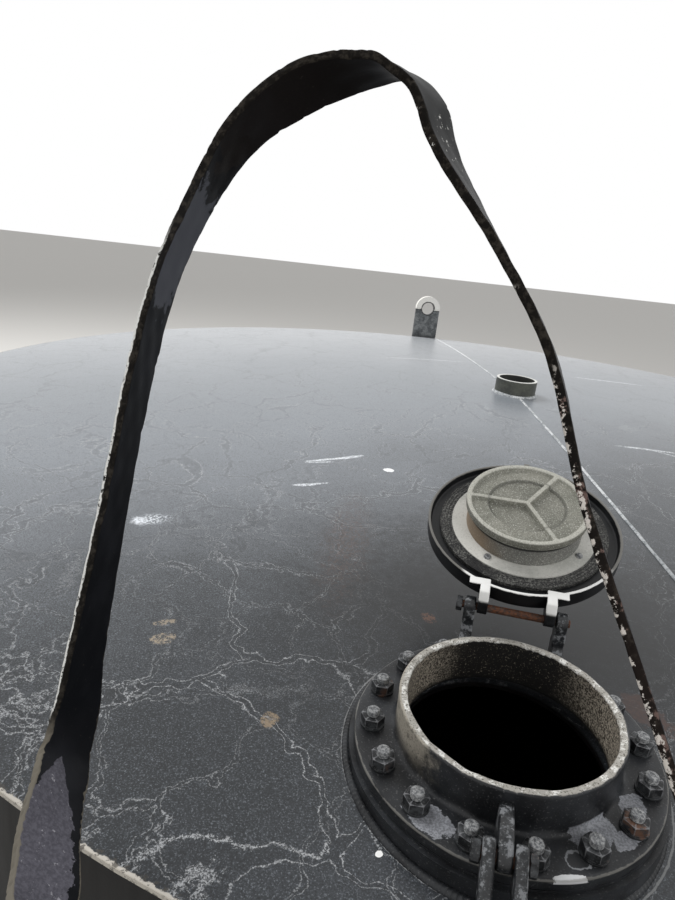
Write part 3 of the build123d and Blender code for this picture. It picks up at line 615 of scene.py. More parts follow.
colour = cover(tree, colour, [(worn, 0.45, "8f8d87")])
# Painted light: tan-grey on the neck's left flank, which faces the light
tan = cover(tree, "a29c90", [
    (grain, 0.46, 0.36, 0.8, "5d574e"),
    (ragged, 0.45, 0.38, 0.7, "4b4640"),
])
lit_flank_share = add(tree, "Math", side, -1.0, add(tree, "Math", ragged, 60 * mm, **times), **times_plus)
lit_flank_share = add(tree, "MapRange", lit_flank_share, 85 * mm, 130 * mm, **smooth)
on_neck = add(tree, "MapRange", height, flange_top, -18 * mm)
on_neck = where(tree, on_neck, reach, 122 * mm, 119 * mm)
colour = cover(tree, colour, [(add(tree, "Math", lit_flank_share, on_neck, **times), 0.9, tan)])
# Painted shade inside the bore, blacker with depth; painted light pales the rust scale on its side walls
inside = add(tree, "MapRange", reach, neck_bore + 3 * mm, neck_bore + 1 * mm)
lit_wall_share = add(tree, "Math", ragged, 50 * mm, add(tree, "Math", side, **absolute), **times_plus)
scale = cover(tree, "332d27", [(grain, 0.44, 0.58, 1.0, "a39b8d")])
inner = cover(tree, "0b0a09", [
    (grain, 0.60, 0.66, 0.8, "877f72"),
    (lit_wall_share, 75 * mm, 122 * mm, 0.85, scale),
    (height, flange_foot + 10 * mm, flange_foot, 1.0, "050505"),
])
colour = cover(tree, colour, [(inside, 1.0, inner)])
rim = add(tree, "Math", ragged, 8 * mm, height, **times_plus)
rim = add(tree, "MapRange", rim, 1.0 * mm, 2.2 * mm)
rim_width = add(tree, "Math", ragged, 6 * mm, reach, **times_plus)
rim = where(tree, rim, rim_width, neck_radius + 1.8 * mm, neck_radius + 0.4 * mm)
bare_rim = cover(tree, "a19e97", [
    (ragged, 0.50, 0.60, 1.0, "dddcd7"),
    (grain, 0.46, 0.38, 0.9, "4a463f"),
])
colour = cover(tree, colour, [(rim, 1.0, bare_rim)])
roughness = add(tree, "Math", add(tree, "Math", rim, inside, **most), 0.25, 0.40, **times_plus)
finish_shader(tree, shader, colour, roughness, grain, 0.35 * mm, 0.5, specular=0.4)

# Fasteners: zinc-plated steel gone dark, rubbed on its corners, with rust on a few
fastener_steel, tree, shader, points, grain, patch, cloud = start(
    "dulled_zinc_on_steel", (2, 3, 0.7), (11, 4, 0.65), (55, 2))
corner = add(tree, "Attribute", attribute_name="corner", output="Fac")
corner = add(tree, "Math", grain, 0.6, corner, **times_plus)
rusty = where(tree, add(tree, "MapRange", cloud, 0.55, 0.66), patch, 0.5, 0.6)
colour = cover(tree, "1c1d1f", [
    (patch, 0.42, 0.62, 1.0, "434547"),
    (grain, 0.56, 0.70, 0.5, "7a7b7c"),
    (rusty, 0.65, "6e4a33"),
    (corner, 0.75, 1.15, 0.6, "96979a"),
])
finish_shader(tree, shader, colour, (0.36, 0.55), grain, 0.2 * mm, 0.4, metallic=0.35)

# Stud ends: bare cut steel, greyer and brighter than the nuts
stud_steel, tree, shader, points, grain = start("grey_cut_stud_steel", (2.5, 3, 0.7))
colour = cover(tree, "55575a", [(grain, 0.38, 0.62, 1.0, "9c9d9d")])
finish_shader(tree, shader, colour, (0.40, 0.58), grain, 0.25 * mm, 0.5, metallic=0.3)

# Lid casting: the hatch's enamel, dead black inside, with its rim rubbed white beside the hinge
lid_enamel, tree, shader, points, grain, ragged, cloud = start(
    "black_enamel_on_lid_casting", (2.2, 3, 0.7), (10, 6, 0.7), (60, 4))
local = local_points(tree, points, lid)
ahead = add(tree, "SeparateXYZ", local, output="X")
height = add(tree, "SeparateXYZ", local, output="Z")
height = add(tree, "Math", ragged, 4 * mm, height, **times_plus)
lip = add(tree, "MapRange", height, -0.6 * mm, -1.4 * mm)
aside = add(tree, "SeparateXYZ", local, output="Y")
hinge_side = add(tree, "Math", ragged, -20 * mm, ahead, **times_plus)
hinge_side = add(tree, "MapRange", hinge_side, -68 * mm, -84 * mm)
hinge_side = where(tree, hinge_side, aside, -74 * mm, -64 * mm)
lug_side = add(tree, "MapRange", ahead, -cap_radius - 2 * mm, -cap_radius - 4 * mm)
lug_face = where(tree, lug_side, height, 10 * mm, 6 * mm)
colour = cover(tree, "0d0e10", [
    (cloud, 0.40, 0.70, 1.0, "1c1d1f"),
    (grain, 0.62, 0.74, 0.3, "6d6d6b"),
    (lip, 0.55, "8b8984"),
    (add(tree, "Math", lip, hinge_side, **times), 0.95, "ececea"),
    (lug_face, 0.95, "e6e6e3"),
])
finish_shader(tree, shader, colour, (0.34, 0.50), grain, 0.3 * mm, 0.4, specular=0.35)

# Seal: moulded nitrile rubber, cracked and gritty
seal_rubber, tree, shader, points, grain, patch = start(
    "gritty_moulded_rubber", (2.2, 4, 0.75), (28, 4, 0.6))
dusty = where(tree, add(tree, "MapRange", grain, 0.44, 0.62), patch, 0.30, 0.55)
colour = cover(tree, "19191a", [(dusty, 1.0, "72726e")])
finish_shader(tree, shader, colour, (0.6, 0.85), grain, 0.6 * mm, 0.8)

# Pallet ring: an off-white epoxy coat with a little tan dust
pallet_coat, tree, shader, points, grain, patch = start("off_white_epoxy_coat", (2.2, 3, 0.7), (60, 4, 0.6))
colour = cover(tree, "c4c3bd", [
    (patch, 0.38, 0.66, 1.0, "a9a9a3"),
    (grain, 0.54, 0.70, 0.4, "73726c"),
    (grain, 0.42, 0.34, 0.5, "d2d1cb"),
])
finish_shader(tree, shader, colour, (0.42, 0.60), grain, 0.15 * mm, 0.3)

# Pallet drum and disc: sand-cast aluminium, dull olive grey with salt grain. Its ribs and rim are rubbed
# pale, and the drum is tan-brown on its left side. Painted shade darkens the drum a little, the disc's
# recesses with the middle most, and a line round its step, and a painted shadow darkens a band under the
# disc's overhang.
cast_alloy, tree, shader, points, grain, patch = start("sand_cast_aluminium", (1.7, 3, 0.75), (40, 4, 0.6))
local = local_points(tree, points, lid)
side = add(tree, "SeparateXYZ", local, output="Y")
height = add(tree, "SeparateXYZ", local, output="Z")
left_side = add(tree, "Math", patch, 60 * mm, side, **times_plus)
left_side = add(tree, "MapRange", left_side, 20 * mm, -30 * mm)
on_drum = add(tree, "MapRange", height, -33 * mm, -28 * mm)
crest = add(tree, "MapRange", height, -40.6 * mm, -42.2 * mm)
# Painted shade in the disc's recesses, the middle most
recess_shade = add(tree, "MapRange", height, -39.0 * mm, -35.0 * mm)
recess_shade = where(tree, recess_shade, height, -33 * mm, -34 * mm)
# Painted shadow: a dark band under the disc's overhang
under = add(tree, "MapRange", add(tree, "Math", height, 27.5 * mm, **plus), -4 * mm, 1.5 * mm)
under = add(tree, "Math", add(tree, "MapRange", height, -24 * mm, -26 * mm), under, **times)
reach = reach_of(tree, local)
# Painted shade: a dark line round the step
step = add(tree, "Math", add(tree, "Math", reach, -50.5 * mm, **plus), **absolute)
colour = cover(tree, "77776d", [
    (patch, 0.38, 0.66, 1.0, "8d8c82"),
    # Painted shade: the drum a little darker
    (on_drum, 0.7, "757573"),
    (crest, 0.75, "bdbcb2"),
    (recess_shade, 0.35, "55554d"),
    (grain, 0.54, 0.66, 0.7, "d0d0ca"),
    (grain, 0.46, 0.34, 0.6, "484843"),
    (add(tree, "Math", left_side, on_drum, **times), 0.65, "8b7357"),
    (step, 2.2 * mm, 1.2 * mm, 0.45, "3c3c38"),
    (under, 0.95, "121212"),
])
finish_shader(tree, shader, colour, (0.48, 0.66), grain, 0.35 * mm, 0.6, metallic=0.25)

# Pins: turned steel, rusted a dark orange brown
rusted_pin, tree, shader, points, grain, patch = start("rusted_turned_steel", (3, 5, 0.7), (20, 3))
colour = cover(tree, "2c1e18", [
    (grain, 0.38, 0.65, 1.0, "68402a"),
    (patch, 0.52, 0.68, 1.0, "4d4a47"),
])
finish_shader(tree, shader, colour, (0.6, 0.85), grain, 0.3 * mm, 0.6)

# Lugs: flame-cut plate in weathered grey paint, the horseshoe's outer band rubbed to bare bright metal
lug_paint, tree, shader, points, grain, patch = start(
    "weathered_paint_on_flame_cut_plate", (4, 4, 0.7), (35, 5, 0.65))
height = add(tree, "SeparateXYZ", points, output="Z")
head = add(tree, "Math", patch, 10 * mm, height, **times_plus)
foot = add(tree, "Math", patch, 60 * mm, height, **times_plus)
aside = add(tree, "Math", add(tree, "SeparateXYZ", points, output="X"), **absolute)
aside = add(tree, "Math", aside, -66 * mm, **plus)
from_hole = add(tree, "Math", height, -roof_edge - 170 * mm, **plus)
from_hole = add(tree, "VectorMath", add(tree, "CombineXYZ", aside, from_hole), **length_of)
from_hole = add(tree, "Math", patch, 12 * mm, from_hole, **times_plus)
scratch = add(tree, "Math", add(tree, "Math", head, -roof_edge - 166 * mm, **plus), **absolute)
colour = cover(tree, "4d5052", [
    (patch, 0.40, 0.60, 1.0, "7c7f80"),
    (grain, 0.52, 0.68, 0.6, "2c2e30"),
    (head, roof_edge + 166 * mm, roof_edge + 169 * mm, 0.95, "f2f0ea"),
    (from_hole, 48 * mm, 46 * mm, 0.9, "2a2b2c"),
    (scratch, 3 * mm, 2 * mm, 0.9, "1c1d1f"),
    (foot, roof_edge + 62 * mm, roof_edge + 40 * mm, 0.7, "26282b"),
])
finish_shader(tree, shader, colour, (0.45, 0.65), grain, 0.3 * mm, 0.5)

# Vent collar: cut pipe in weathered grey paint, its top edge rubbed pale
vent_paint, tree, shader, points, grain, patch = start(
    "weathered_paint_on_cut_pipe", (4, 4, 0.7), (45, 4, 0.6))
height = add(tree, "SeparateXYZ", points, output="Z")
reach = reach_of(tree, points)
top = add(tree, "Math", grain, 3 * mm, height, **times_plus)
colour = cover(tree, "3b3d3a", [
    (patch, 0.40, 0.64, 1.0, "50524a"),
    (grain, 0.50, 0.70, 0.35, "7e807c"),
    (top, 1.6885, 1.6900, 0.95, "dededa"),
    (reach, 57.5 * mm, 56.5 * mm, 0.7, "1b1c1d"),
])
finish_shader(tree, shader, colour, (0.45, 0.62), grain, 0.25 * mm, 0.4)

# Ladder and handles: black enamel on rolled steel, worn to grey-brown on the treads
ladder_enamel, tree, shader, points, grain, patch = start(
    "worn_black_enamel_on_rolled_steel", (3, 4, 0.7), (55, 5, 0.65))
wear = where(tree, add(tree, "MapRange", patch, 0.55, 0.61), grain, 0.4, 0.55)
colour = cover(tree, "101114", [
    (patch, 0.42, 0.70, 1.0, "222327"),
    (wear, 0.8, "5a5148"),
])
roughness = add(tree, "Math", wear, 0.25, 0.34, **times_plus)
finish_shader(tree, shader, colour, roughness, patch, 0.3 * mm, 0.4)

# Latch: black enamel on cast arms, rubbed grey along the edges that hand and bar touch
latch_enamel, tree, shader, points, grain, ragged = start(
    "rubbed_black_enamel_on_latch", (2.2, 4, 0.7), (12, 5, 0.7))
wear = add(tree, "MapRange", ragged, 0.53, 0.60)
colour = cover(tree, "17181a", [
    (ragged, 0.40, 0.60, 1.0, "2e3032"),
    (wear, 0.7, "86888b"),
    (grain, 0.58, 0.70, 0.5, "9a9b9c"),
])
roughness = add(tree, "Math", wear, 0.2, 0.36, **times_plus)
finish_shader(tree, shader, colour, roughness, grain, 0.3 * mm, 0.5)


# Finishes of the solids whose shape is right as it is
finishes = (
    (shell_paint, (
        "bottom_plate", "shell_near_left", "shell_near_right", "shell_far_left",
        "shell_far_right", "corner_welds", "shell_seams", "cleanout_neck", "cleanout_cover",
    )),
    (roof_paint, ("roof_left", "roof_right")),
    (vent_paint, ("vent_collar", "outlet_collar", "fill_collar", "drain_collar")),
    (lug_paint, ("lug_far", "lug_near")),
    (hatch_enamel, ("hatch_curb", "hatch_gasket")),
    (ladder_enamel, (
        "ladder_rail_left", "ladder_rail_right", "ladder_rungs", "ladder_brackets",
        "cleanout_handles",
    )),
    (seal_rubber, ("cleanout_seal",)),
    (pallet_coat, ("pallet_plate",)),
    (rusted_pin, ("latch_pin",)),
)
for finish, nodes in finishes:
    for node in nodes:
        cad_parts[node].data.materials.clear()
        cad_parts[node].data.materials.append(finish)

# Hoop: flat bar bent by hand in a leaning plane, twisted at its crown. Its legs bend outwards over the
# roof's edge and lap on edge onto the ladder's rails.
bar_width = 50 * mm
bar_thickness = 7 * mm
bar_corner = 1.6 * mm
hoop_lean = radians(18)
hoop_up = up * cos(hoop_lean) - out_way * sin(hoop_lean)
hoop_normal = out_way * cos(hoop_lean) + up * sin(hoop_lean)
hoop_foot = out_way * (roof_radius - 15 * mm) + up * (roof_edge - 13 * mm)
bend_top = roof_edge + 105 * mm
ladder_out = bearing_vector(16.5)
ladder_side = np.cross(up, ladder_out)
ladder_half_width = 225 * mm
rail_thickness = 8 * mm
rail_reach = shell_radius + 170 * mm
# Columns in millimetres and degrees: along the rim, up the leaning plane, outwards of it, twist
hoop_arch = np.array([
    (-378, 146, 0, -14),
    (-379, 190, 0, -4),
    (-377, 330, 0, 7),
    (-374, 450, 0, 8),
    (-366, 530, 0, 8),
    (-346, 600, 0, 7),
    (-318, 660, 0, -4),
    (-272, 701, 0, -14),
    (-222, 718, 0, 4),
    (-193, 717, 0, 24),
    (-168, 698, 0, 26),
    (-145, 654, 0, 21),
    (-92, 585, 0, 11),
    (-40, 510, 0, 10),
    (2, 407, 0, 8),
    (54, 306, 0, 8),
    (92, 232, 4, 8),
    (122, 170, 6, 5),
], float)
# The legs' bends. Columns: along the rim, out of the roof's edge, then the width's direction
left_bend = np.array([
    (-307, 76, -0.74, 0.25, 0.60),
    (-331, 39, -0.70, 0.35, 0.62),
    (-352, 0, -0.52, 0.45, 0.72),
    (-369, -33, -0.20, 0.85, 0.50),
])
right_bend = np.array([
    (139, -40, 0.0, 0.85, 0.55),
    (147, -6, 0.0, 0.50, 0.87),
    (151, 50, 0.0, 0.20, 0.98),
])


def through(values, steps):
    """Catmull-Rom curve through rows of values: each span blends four neighbours by cubics of t."""
    before = np.vstack([2 * values[0] - values[1], values[:-1]])
    after = np.vstack([values[1:], 2 * values[-1] - values[-2]])
    a, b, c, d = before[:-1], values[:-1], values[1:], after[1:]
    t = np.linspace(0, 1, steps, endpoint=False)[:, None, None]
    spans = 0.5 * (
        2 * b + (c - a) * t + (2 * a - 5 * b + 4 * c - d) * t**2 + (3 * b - a - 3 * c + d) * t**3
    )
    return np.vstack([spans.transpose(1, 0, 2).reshape(-1, values.shape[1]), values[-1:]])


def bend_rows(rows):
    """Middles and width directions of a leg's outward bend, side by side."""
    middles = rows[:, :1] * mm * side_way + (roof_radius + rows[:, 1:2] * mm) * out_way + bend_top * up
    widths = rows[:, 2:3] * side_way + rows[:, 3:4] * out_way + rows[:, 4:5] * up
    return np.hstack([middles, widths])


def lap_rows(side):
    """Middles and width directions of the bar on edge against a rail's inner face, from its end inwards."""
    reaches = rail_reach + np.array([[29.8], [0], [-30]]) * mm
    inset = side * (ladder_half_width - bar_thickness / 2)
    return np.hstack([reaches * ladder_out + inset * ladder_side + bend_top * up, np.tile(up, (3, 1))])


arch = hoop_arch * [mm, mm, mm, pi / 180]
middles = hoop_foot + arch[:, :1] * side_way + arch[:, 1:2] * hoop_up + arch[:, 2:3] * out_way
runs = np.gradient(middles, axis=0)
runs /= np.linalg.norm(runs, axis=1, keepdims=True)
widths = hoop_normal * np.cos(arch[:, 3:]) + np.cross(runs, hoop_normal) * np.sin(arch[:, 3:])
arch_rows = np.hstack([middles, widths])
bar = through(np.vstack([
    lap_rows(-1),
    bend_rows(left_bend),
    arch_rows,
    bend_rows(right_bend),
    lap_rows(1)[::-1],
]), 22)
bar_middle = bar[:, :3]
bar_run = np.gradient(bar_middle, axis=0)
bar_run /= np.linalg.norm(bar_run, axis=1, keepdims=True)
bar_across = bar[:, 3:] - (bar[:, 3:] * bar_run).sum(axis=1, keepdims=True) * bar_run
bar_across /= np.linalg.norm(bar_across, axis=1, keepdims=True)
bar_face = np.cross(bar_run, bar_across)
bar_length = np.concatenate([[0], np.cumsum(np.linalg.norm(np.diff(bar_middle, axis=0), axis=1))])
section = divided(rounded([
    (-bar_width / 2, -bar_thickness / 2),
    (bar_width / 2, -bar_thickness / 2),
    (bar_width / 2, bar_thickness / 2),
    (-bar_width / 2, bar_thickness / 2),
], bar_corner, 4), 2.5 * mm)
bar_points = (
    bar_middle[:, None]
    + section[:, 0, None] * bar_across[:, None]
    + section[:, 1, None] * bar_face[:, None]
)
nicks = np.clip(waves(bar_points, 7 * mm, 4) - 0.25, 0, None) * (np.abs(section[:, 0]) > 23 * mm)
bar_points -= (nicks * np.sign(section[:, 0]) * 1.6 * mm)[..., None] * bar_across[:, None]
bar_points += (0.3 * mm * waves(bar_points, 20 * mm, 5))[..., None] * bar_face[:, None]
skin("hoop_bar", bar_points, hoop_enamel, "tank", "black_paint", ["hoop"], **capped,
     marks={
         "along": bar_length[None, :, None],
         "across": section[None, None, :, 0],
         "thickness": section[None, None, :, 1],
     })

# Weld beads: along the roof's seam, round the pipe collar and the hatch's curb
seam_reach = np.arange(roof_radius - 4 * mm, vent_radius + 9 * mm, -1.2 * mm)
for name, side in (("seam_bead_far", 1), ("seam_bead_near", -1)):
    path = np.stack([0 * seam_reach, side * seam_reach, roof_height(seam_reach) + 0.2 * mm], axis=1)
    path[:, 0] += 0.5 * mm * waves(path, 90 * mm, 7)
    beads = bead_grid(path, np.tile(up, (len(path), 1)), 3.4 * mm, 0.2, 5 * mm, 8, steps=7)
    skin(name, beads, weld_finish, "tank", "weld_bead", ["roof_seam"] if side > 0 else [])


def ring_weld(name, place, radius, height_of, leg, pitch, seed, finish):
    """Fillet weld round a pipe: a circle laid on the plate below it, its bead facing up and outwards."""
    angle = np.linspace(0, tau, int(tau * radius / (pitch / 5)))
    flat = np.stack([radius * np.cos(angle), radius * np.sin(angle), 0 * angle], axis=1)
    world = put(place, flat)
    outward = world - place[0]
    outward /= np.linalg.norm(outward, axis=1, keepdims=True)
    path = world.copy()
    path[:, 2] = height_of(world)
    normals = outward * 0.7 + up * 0.7
    skin(name, bead_grid(path, normals, leg, 0.16, pitch, seed), finish, "tank", "weld_bead")


def on_roof(world):
    """Height of the roof under each point."""
    return roof_height(np.hypot(world[:, 0], world[:, 1]))


crown = (np.array([0.0, 0.0, roof_edge + crown_rise]), np.eye(3))
ring_weld("vent_weld", crown, vent_radius + 1 * mm, on_roof, 7 * mm, 6 * mm, 11, weld_finish)
ring_weld("curb_weld", hatch, curb_radius + 0.5 * mm, on_roof, 4.5 * mm, 5 * mm, 12, hatch_enamel)


# Hatch casting: base flange and neck in one, its rim eased and dinged
hatch_profile = divided(rounded([
    (neck_bore, flange_foot),
    (flange_radius, flange_foot),
    (flange_radius, flange_top),
    (neck_radius, flange_top),
    (neck_radius, 0.0),
    (neck_bore, 0.0),
], [1 * mm, 1 * mm, 3.5 * mm, 7 * mm, 2.6 * mm, 2.2 * mm], 6), 4 * mm)
casting = round_grid(hatch_profile, 360)
out_of_round = casting[..., :2] / np.linalg.norm(casting[..., :2], axis=-1, keepdims=True)
casting[..., :2] += (0.35 * mm * waves(casting, 38 * mm, 21))[..., None] * out_of_round
dings = np.clip(waves(casting, 26 * mm, 22) - 0.45, 0, None) * (casting[..., 2] > -3 * mm)
casting[..., 2] += 0.25 * mm * waves(casting, 45 * mm, 23) - 1.6 * mm * dings
skin("hatch_casting", put(hatch, casting), hatch_enamel, "tank", "black_enamel", ["hatch_base"],
     **ringed)

# Hinge ears: two goosenecks that rise from the flange outside the neck
ear_rows = (
    (-151, -44, 1), (-113, -44, 1), (-113, -20, 8), (-126, -8, 8), (-127, 8, 8),
    (-124, 24.8, 7), (-129, 36, 7), (-143, 36, 7), (-148, 24.8, 7), (-147, 0, 10),
    (-150, -20, 8),
)
for name, side in (("hinge_ear_left", -1), ("hinge_ear_right", 1)):
    middle = side * ear_middle
    plate(name, hatch, ear_rows, middle - 7 * mm, middle + 7 * mm, 2.2 * mm, latch_enamel, "tank",
          uneven=0.3 * mm)

# Latch web: the lug on the neck that carries the latch's pin
web_rows = (
    (114, -44, 1), (158, -44, 6), (170, -35, 8), (178, -24, 10), (170, -13, 8),
    (150, -8, 10), (114, -12, 4),
)
plate("latch_web", hatch, web_rows, -6.5 * mm, 6.5 * mm, 2 * mm, latch_enamel, "tank")


# Studs, nuts and washers. A nut's side is the lesser of a hexagon and the cone of its chamfer.
def stud_grid(radius, low, high, pitch, sides=30):
    """Screw thread: the radius swings by a rounded triangle wave of height and angle together."""
    angle = np.linspace(0, tau, sides, endpoint=False)
    height = np.arange(low, high, pitch / 6)
    phase = height[:, None] / pitch - angle / tau
    swing = np.abs((phase % 1) - 0.5) * 2
    ring = radius - 0.09 * radius * swing
    tip = np.array([0.93, 0.80, 0.45, 0.40, 0.0]) * radius
    tip_height = high + np.array([0.3, 0.9, 0.9, 0.3, 0.3]) * mm
    ring = np.vstack([ring, np.tile(tip[:, None], (1, sides))])
    height = np.tile(np.concatenate([height, tip_height])[:, None], (1, sides))
    return np.stack([ring * np.cos(angle), ring * np.sin(angle), height], axis=-1)


nut_share = np.array([0.0, 0.0, 0.05, 0.10, 0.16, 0.5, 0.84, 0.90, 0.95, 1.0, 1.0])
# How far each of a nut's points is on a corner of its hexagon or on a chamfer's edge
nut_corners = np.maximum.outer(
    np.array([0, 0.5, 0.8, 0.4, 0, 0, 0, 0.4, 0.8, 0.5, 0]),
    (np.arange(48) % 8 == 0) * 0.8,
)[None]


def nut_grid(flats, bore, low, high):
    """Hexagon nut: hexagon apothem over the cosine to the nearest flat, cut by 30 degree chamfers."""
    angle = np.linspace(0, tau, 48, endpoint=False)
    hexagon = flats / 2 / np.cos((angle % (tau / 6)) - tau / 12)
    height = low + (high - low) * nut_share
    from_end = np.minimum(height - low, high - height)
    cone = flats / 2 * 0.98 + from_end * 1.9
    ring = np.minimum(hexagon, cone[:, None])
    ring[[0, -1]] = bore
    return np.stack([ring * np.cos(angle), ring * np.sin(angle), np.tile(height[:, None], (1, 48))], axis=-1)


def disc_grid(outer, bore, low, high):
    """Flat washer with eased edges."""
    edge = 0.5 * mm
    profile = rounded([(bore, low), (outer, low), (outer, high), (bore, high)], edge, 3)
    return round_grid(profile, 36)


def copies(grid, places, spins):
    """The grid put at each place after a spin about its own z."""
    turned_grids = []
    for place, spin in zip(places, spins):
        c = cos(spin)
        s = sin(spin)
        about = np.array([[c, s, 0], [-s, c, 0], [0, 0, 1]])
        turned_grids.append(put(place, grid @ about))
    return np.stack(turned_grids)


draw = np.random.default_rng(3)
stud_places = []
for k in range(stud_count):
    angle = tau * (k + 0.5) / stud_count
    foot = np.array([stud_circle * cos(angle), stud_circle * sin(angle), flange_top])
    tilt = draw.normal(0, 0.012, 2)
    z_way = unit(hatch[1][2] + tilt[0] * hatch[1][0] + tilt[1] * hatch[1][1])
    x_way = unit(hatch[1][0] - z_way * (hatch[1][0] @ z_way))
    stud_places.append((put(hatch, foot), np.array([x_way, np.cross(z_way, x_way), z_way])))
spins = draw.uniform(0, tau, stud_count)
nut_top = 12.8 * mm
skin("hatch_washers", copies(disc_grid(13.2 * mm, 7 * mm, 0, 2.6 * mm), stud_places, spins), fastener_steel,
     "tank", "black_enamel", **ringed)
skin("hatch_nuts", copies(nut_grid(22.6 * mm, 6.6 * mm, 2.4 * mm, nut_top), stud_places, spins),
     fastener_steel, "tank", "black_enamel", **ringed, marks={"corner": nut_corners})
skin("hatch_studs", copies(stud_grid(6.9 * mm, 1 * mm, 18.4 * mm, 2 * mm), stud_places, spins), stud_steel,
     "tank", "rusty_steel", **capped)

# Hinge pin: turned steel between the ears, a hexagon head on its left end
pin_frame = (hinge[0], np.array([hinge[1][0], hinge[1][2], hinge[1][1]]) * [[1], [-1], [1]])
pin_profile = eased([(0, -68, 0), (4.9, -68, 1.2), (4.9, 65, 1.2), (0, 65, 0)], 4, 6 * mm, closed=False)
skin("hinge_pin_bar", put(pin_frame, round_grid(pin_profile, 28)), rusted_pin, "tank", "rusty_steel",
     ["hinge_pin"], columns_close=True)
skin("hinge_pin_head", put(pin_frame, nut_grid(16 * mm, 4.9 * mm, -72 * mm, -64.5 * mm)), fastener_steel,
     "tank", "rusty_steel", **ringed)

# Lid casting: a dished cap with a deep channel inside its skirt
lid_profile = eased([
    (0, 43.6, 0),
    (64, 38.4, 30),
    (100, 30.6, 20),
    (124, 23.4, 4),
    (129, 18, 4),
    (129, -4, 1.4),
    (125.4, -4, 1.4),
    (124.6, 6.3, 3),
    (112.5, 6.3, 1),
    (0, 6.3, 0),
], 6, 4 * mm, closed=False)
cap = round_grid(lid_profile, 300)
cap_wave = 0.3 * mm * waves(cap, 40 * mm, 41) * np.clip(cap[..., 2] / (4 * mm) + 1, 0.3, 1)
cap[..., 2] += cap_wave
skin("lid_casting", put(lid, cap), lid_enamel, "lid", "black_enamel", ["lid_cap"], columns_close=True)

# The lid's two hinge lugs, and the wings of its rim beside them
lug_rows = (
    (-122, -4, 1.5), (-136, -4, 2), (-146, 8, 8), (-147.5, 24.8, 10), (-136, 36, 10),
    (-112, 24, 8), (-104, 16, 6), (-110, 2, 1),
)
wing_rows = ((-114, -4, 0.5), (-124.5, -4, 1.5), (-124.5, 2, 3), (-114, 12, 0.5))
for name, side in (("lid_lug_left", -1), ("lid_lug_right", 1)):
    plate(name, lid, lug_rows, side * 34 * mm, side * 46 * mm, 1.2 * mm, lid_enamel, "lid")
    plate(name + "_wing", lid, wing_rows, side * 34 * mm, side * 60 * mm, 1.5 * mm, lid_enamel, "lid")

# Nose: the tab on the lid's far rim that the latch's bar comes down on
nose_rows = ((123, -4, 1), (137, -4, 3), (137, 6, 3), (123, 16, 1))
plate("lid_nose", lid, nose_rows, -4 * mm, 4 * mm, 1.2 * mm, lid_enamel, "lid")

# Seal: a rubber ring with moulded grooves
seal_reach = np.linspace(96 * mm, 112 * mm, 54)
groove = 0.8 * mm * np.cos((seal_reach - 96 * mm) * tau / (4 * mm))
seal_profile = np.vstack([
    np.stack([seal_reach, 1.4 * mm - 0.5 * groove], axis=1),
    [(112 * mm, 6.2 * mm), (96 * mm, 6.2 * mm)],
])
seal = round_grid(seal_profile, 240)
seal[..., 2] += 0.35 * mm * waves(seal, 9 * mm, 51) * (seal[..., 2] < 4 * mm)
skin("lid_seal_ring", put(lid, seal), seal_rubber, "lid", "seal_rubber", ["lid_seal"], **ringed)

# Pallet drum and disc: the disc's underside is a height over reach and angle, raised at its rim,
# stepped round the middle, with three ribs that meet there
drum_profile = eased([
    (71, -1, 0.6),
    (76.5, -1, 0.6),
    (76, -26.5, 0.6),
    (73.4, -28.6, 0.6),
    (73.4, -31.6, 0.6),
    (71, -31.6, 0.6),
], 4, 3 * mm)
skin("pallet_skirt", put(lid, round_grid(drum_profile, 200)), cast_alloy, "lid", "cast_alloy",
     ["pallet_drum"], **ringed)


def ease(value, low, high):
    """Smooth step from 0 at low to 1 at high: t squared times three less two t."""
    t = np.clip((value - low) / (high - low), 0, 1)
    return t * t * (3 - 2 * t)


face_reach = np.concatenate([[0], np.linspace(1 * mm, 77.5 * mm, 110)])[:, None]
face_angle = np.linspace(0, tau, 420, endpoint=False)[None, :]
rib_turn = radians(30)
to_rib = (face_angle - rib_turn + pi / 3) % (tau / 3) - pi / 3
from_rib = np.abs(face_reach * np.sin(to_rib))
on_rib = (1 - ease(from_rib, 2.4 * mm, 5.2 * mm)) * (np.cos(to_rib) > 0)
rim_share = ease(face_reach, 70.5 * mm, 75 * mm) + 0 * face_angle
step_share = 1 - ease(face_reach, 48.5 * mm, 52 * mm) + 0 * face_angle
lowered = 5 * mm * (1 - rim_share) + 3 * mm * step_share
raised = np.maximum(lowered * (1 - on_rib), 0)
rib_crown = 0.9 * mm * on_rib * (1 - rim_share)
face = np.stack([
    face_reach * np.cos(face_angle),
    face_reach * np.sin(face_angle),
    -42.6 * mm + raised + rib_crown,
], axis=-1)
face[..., 2] += 0.12 * mm * waves(face, 12 * mm, 61)
side_profile = eased([
    (77.5, -42.6, 0),
    (80, -42.6, 2),
    (80, -31.6, 1.2),
    (0, -31.6, 0),
], 6, closed=False)
disc = np.concatenate([face, round_grid(side_profile, 420)])
skin("pallet_face", put(lid, disc), cast_alloy, "lid", "cast_alloy", ["pallet_disc"], columns_close=True)

# Screw heads that hold the pallet's ring
screw = round_grid(rounded([
    (0, -3.6 * mm),
    (4.2 * mm, -3.2 * mm),
    (5 * mm, -0.5 * mm),
    (0, -0.5 * mm),
], [0, 1.4 * mm, 0.3 * mm, 0], 5, closed=False), 24)
screw_circle = 84 * mm
screw_places = [
    (put(lid, screw_circle * np.array([cos(a), sin(a), 0])), lid[1])
    for a in (radians(30 + 90 * k) for k in range(4))
]
skin("pallet_screws", copies(screw, screw_places, [0] * 4), stud_steel, "lid", "cast_alloy",
     columns_close=True)

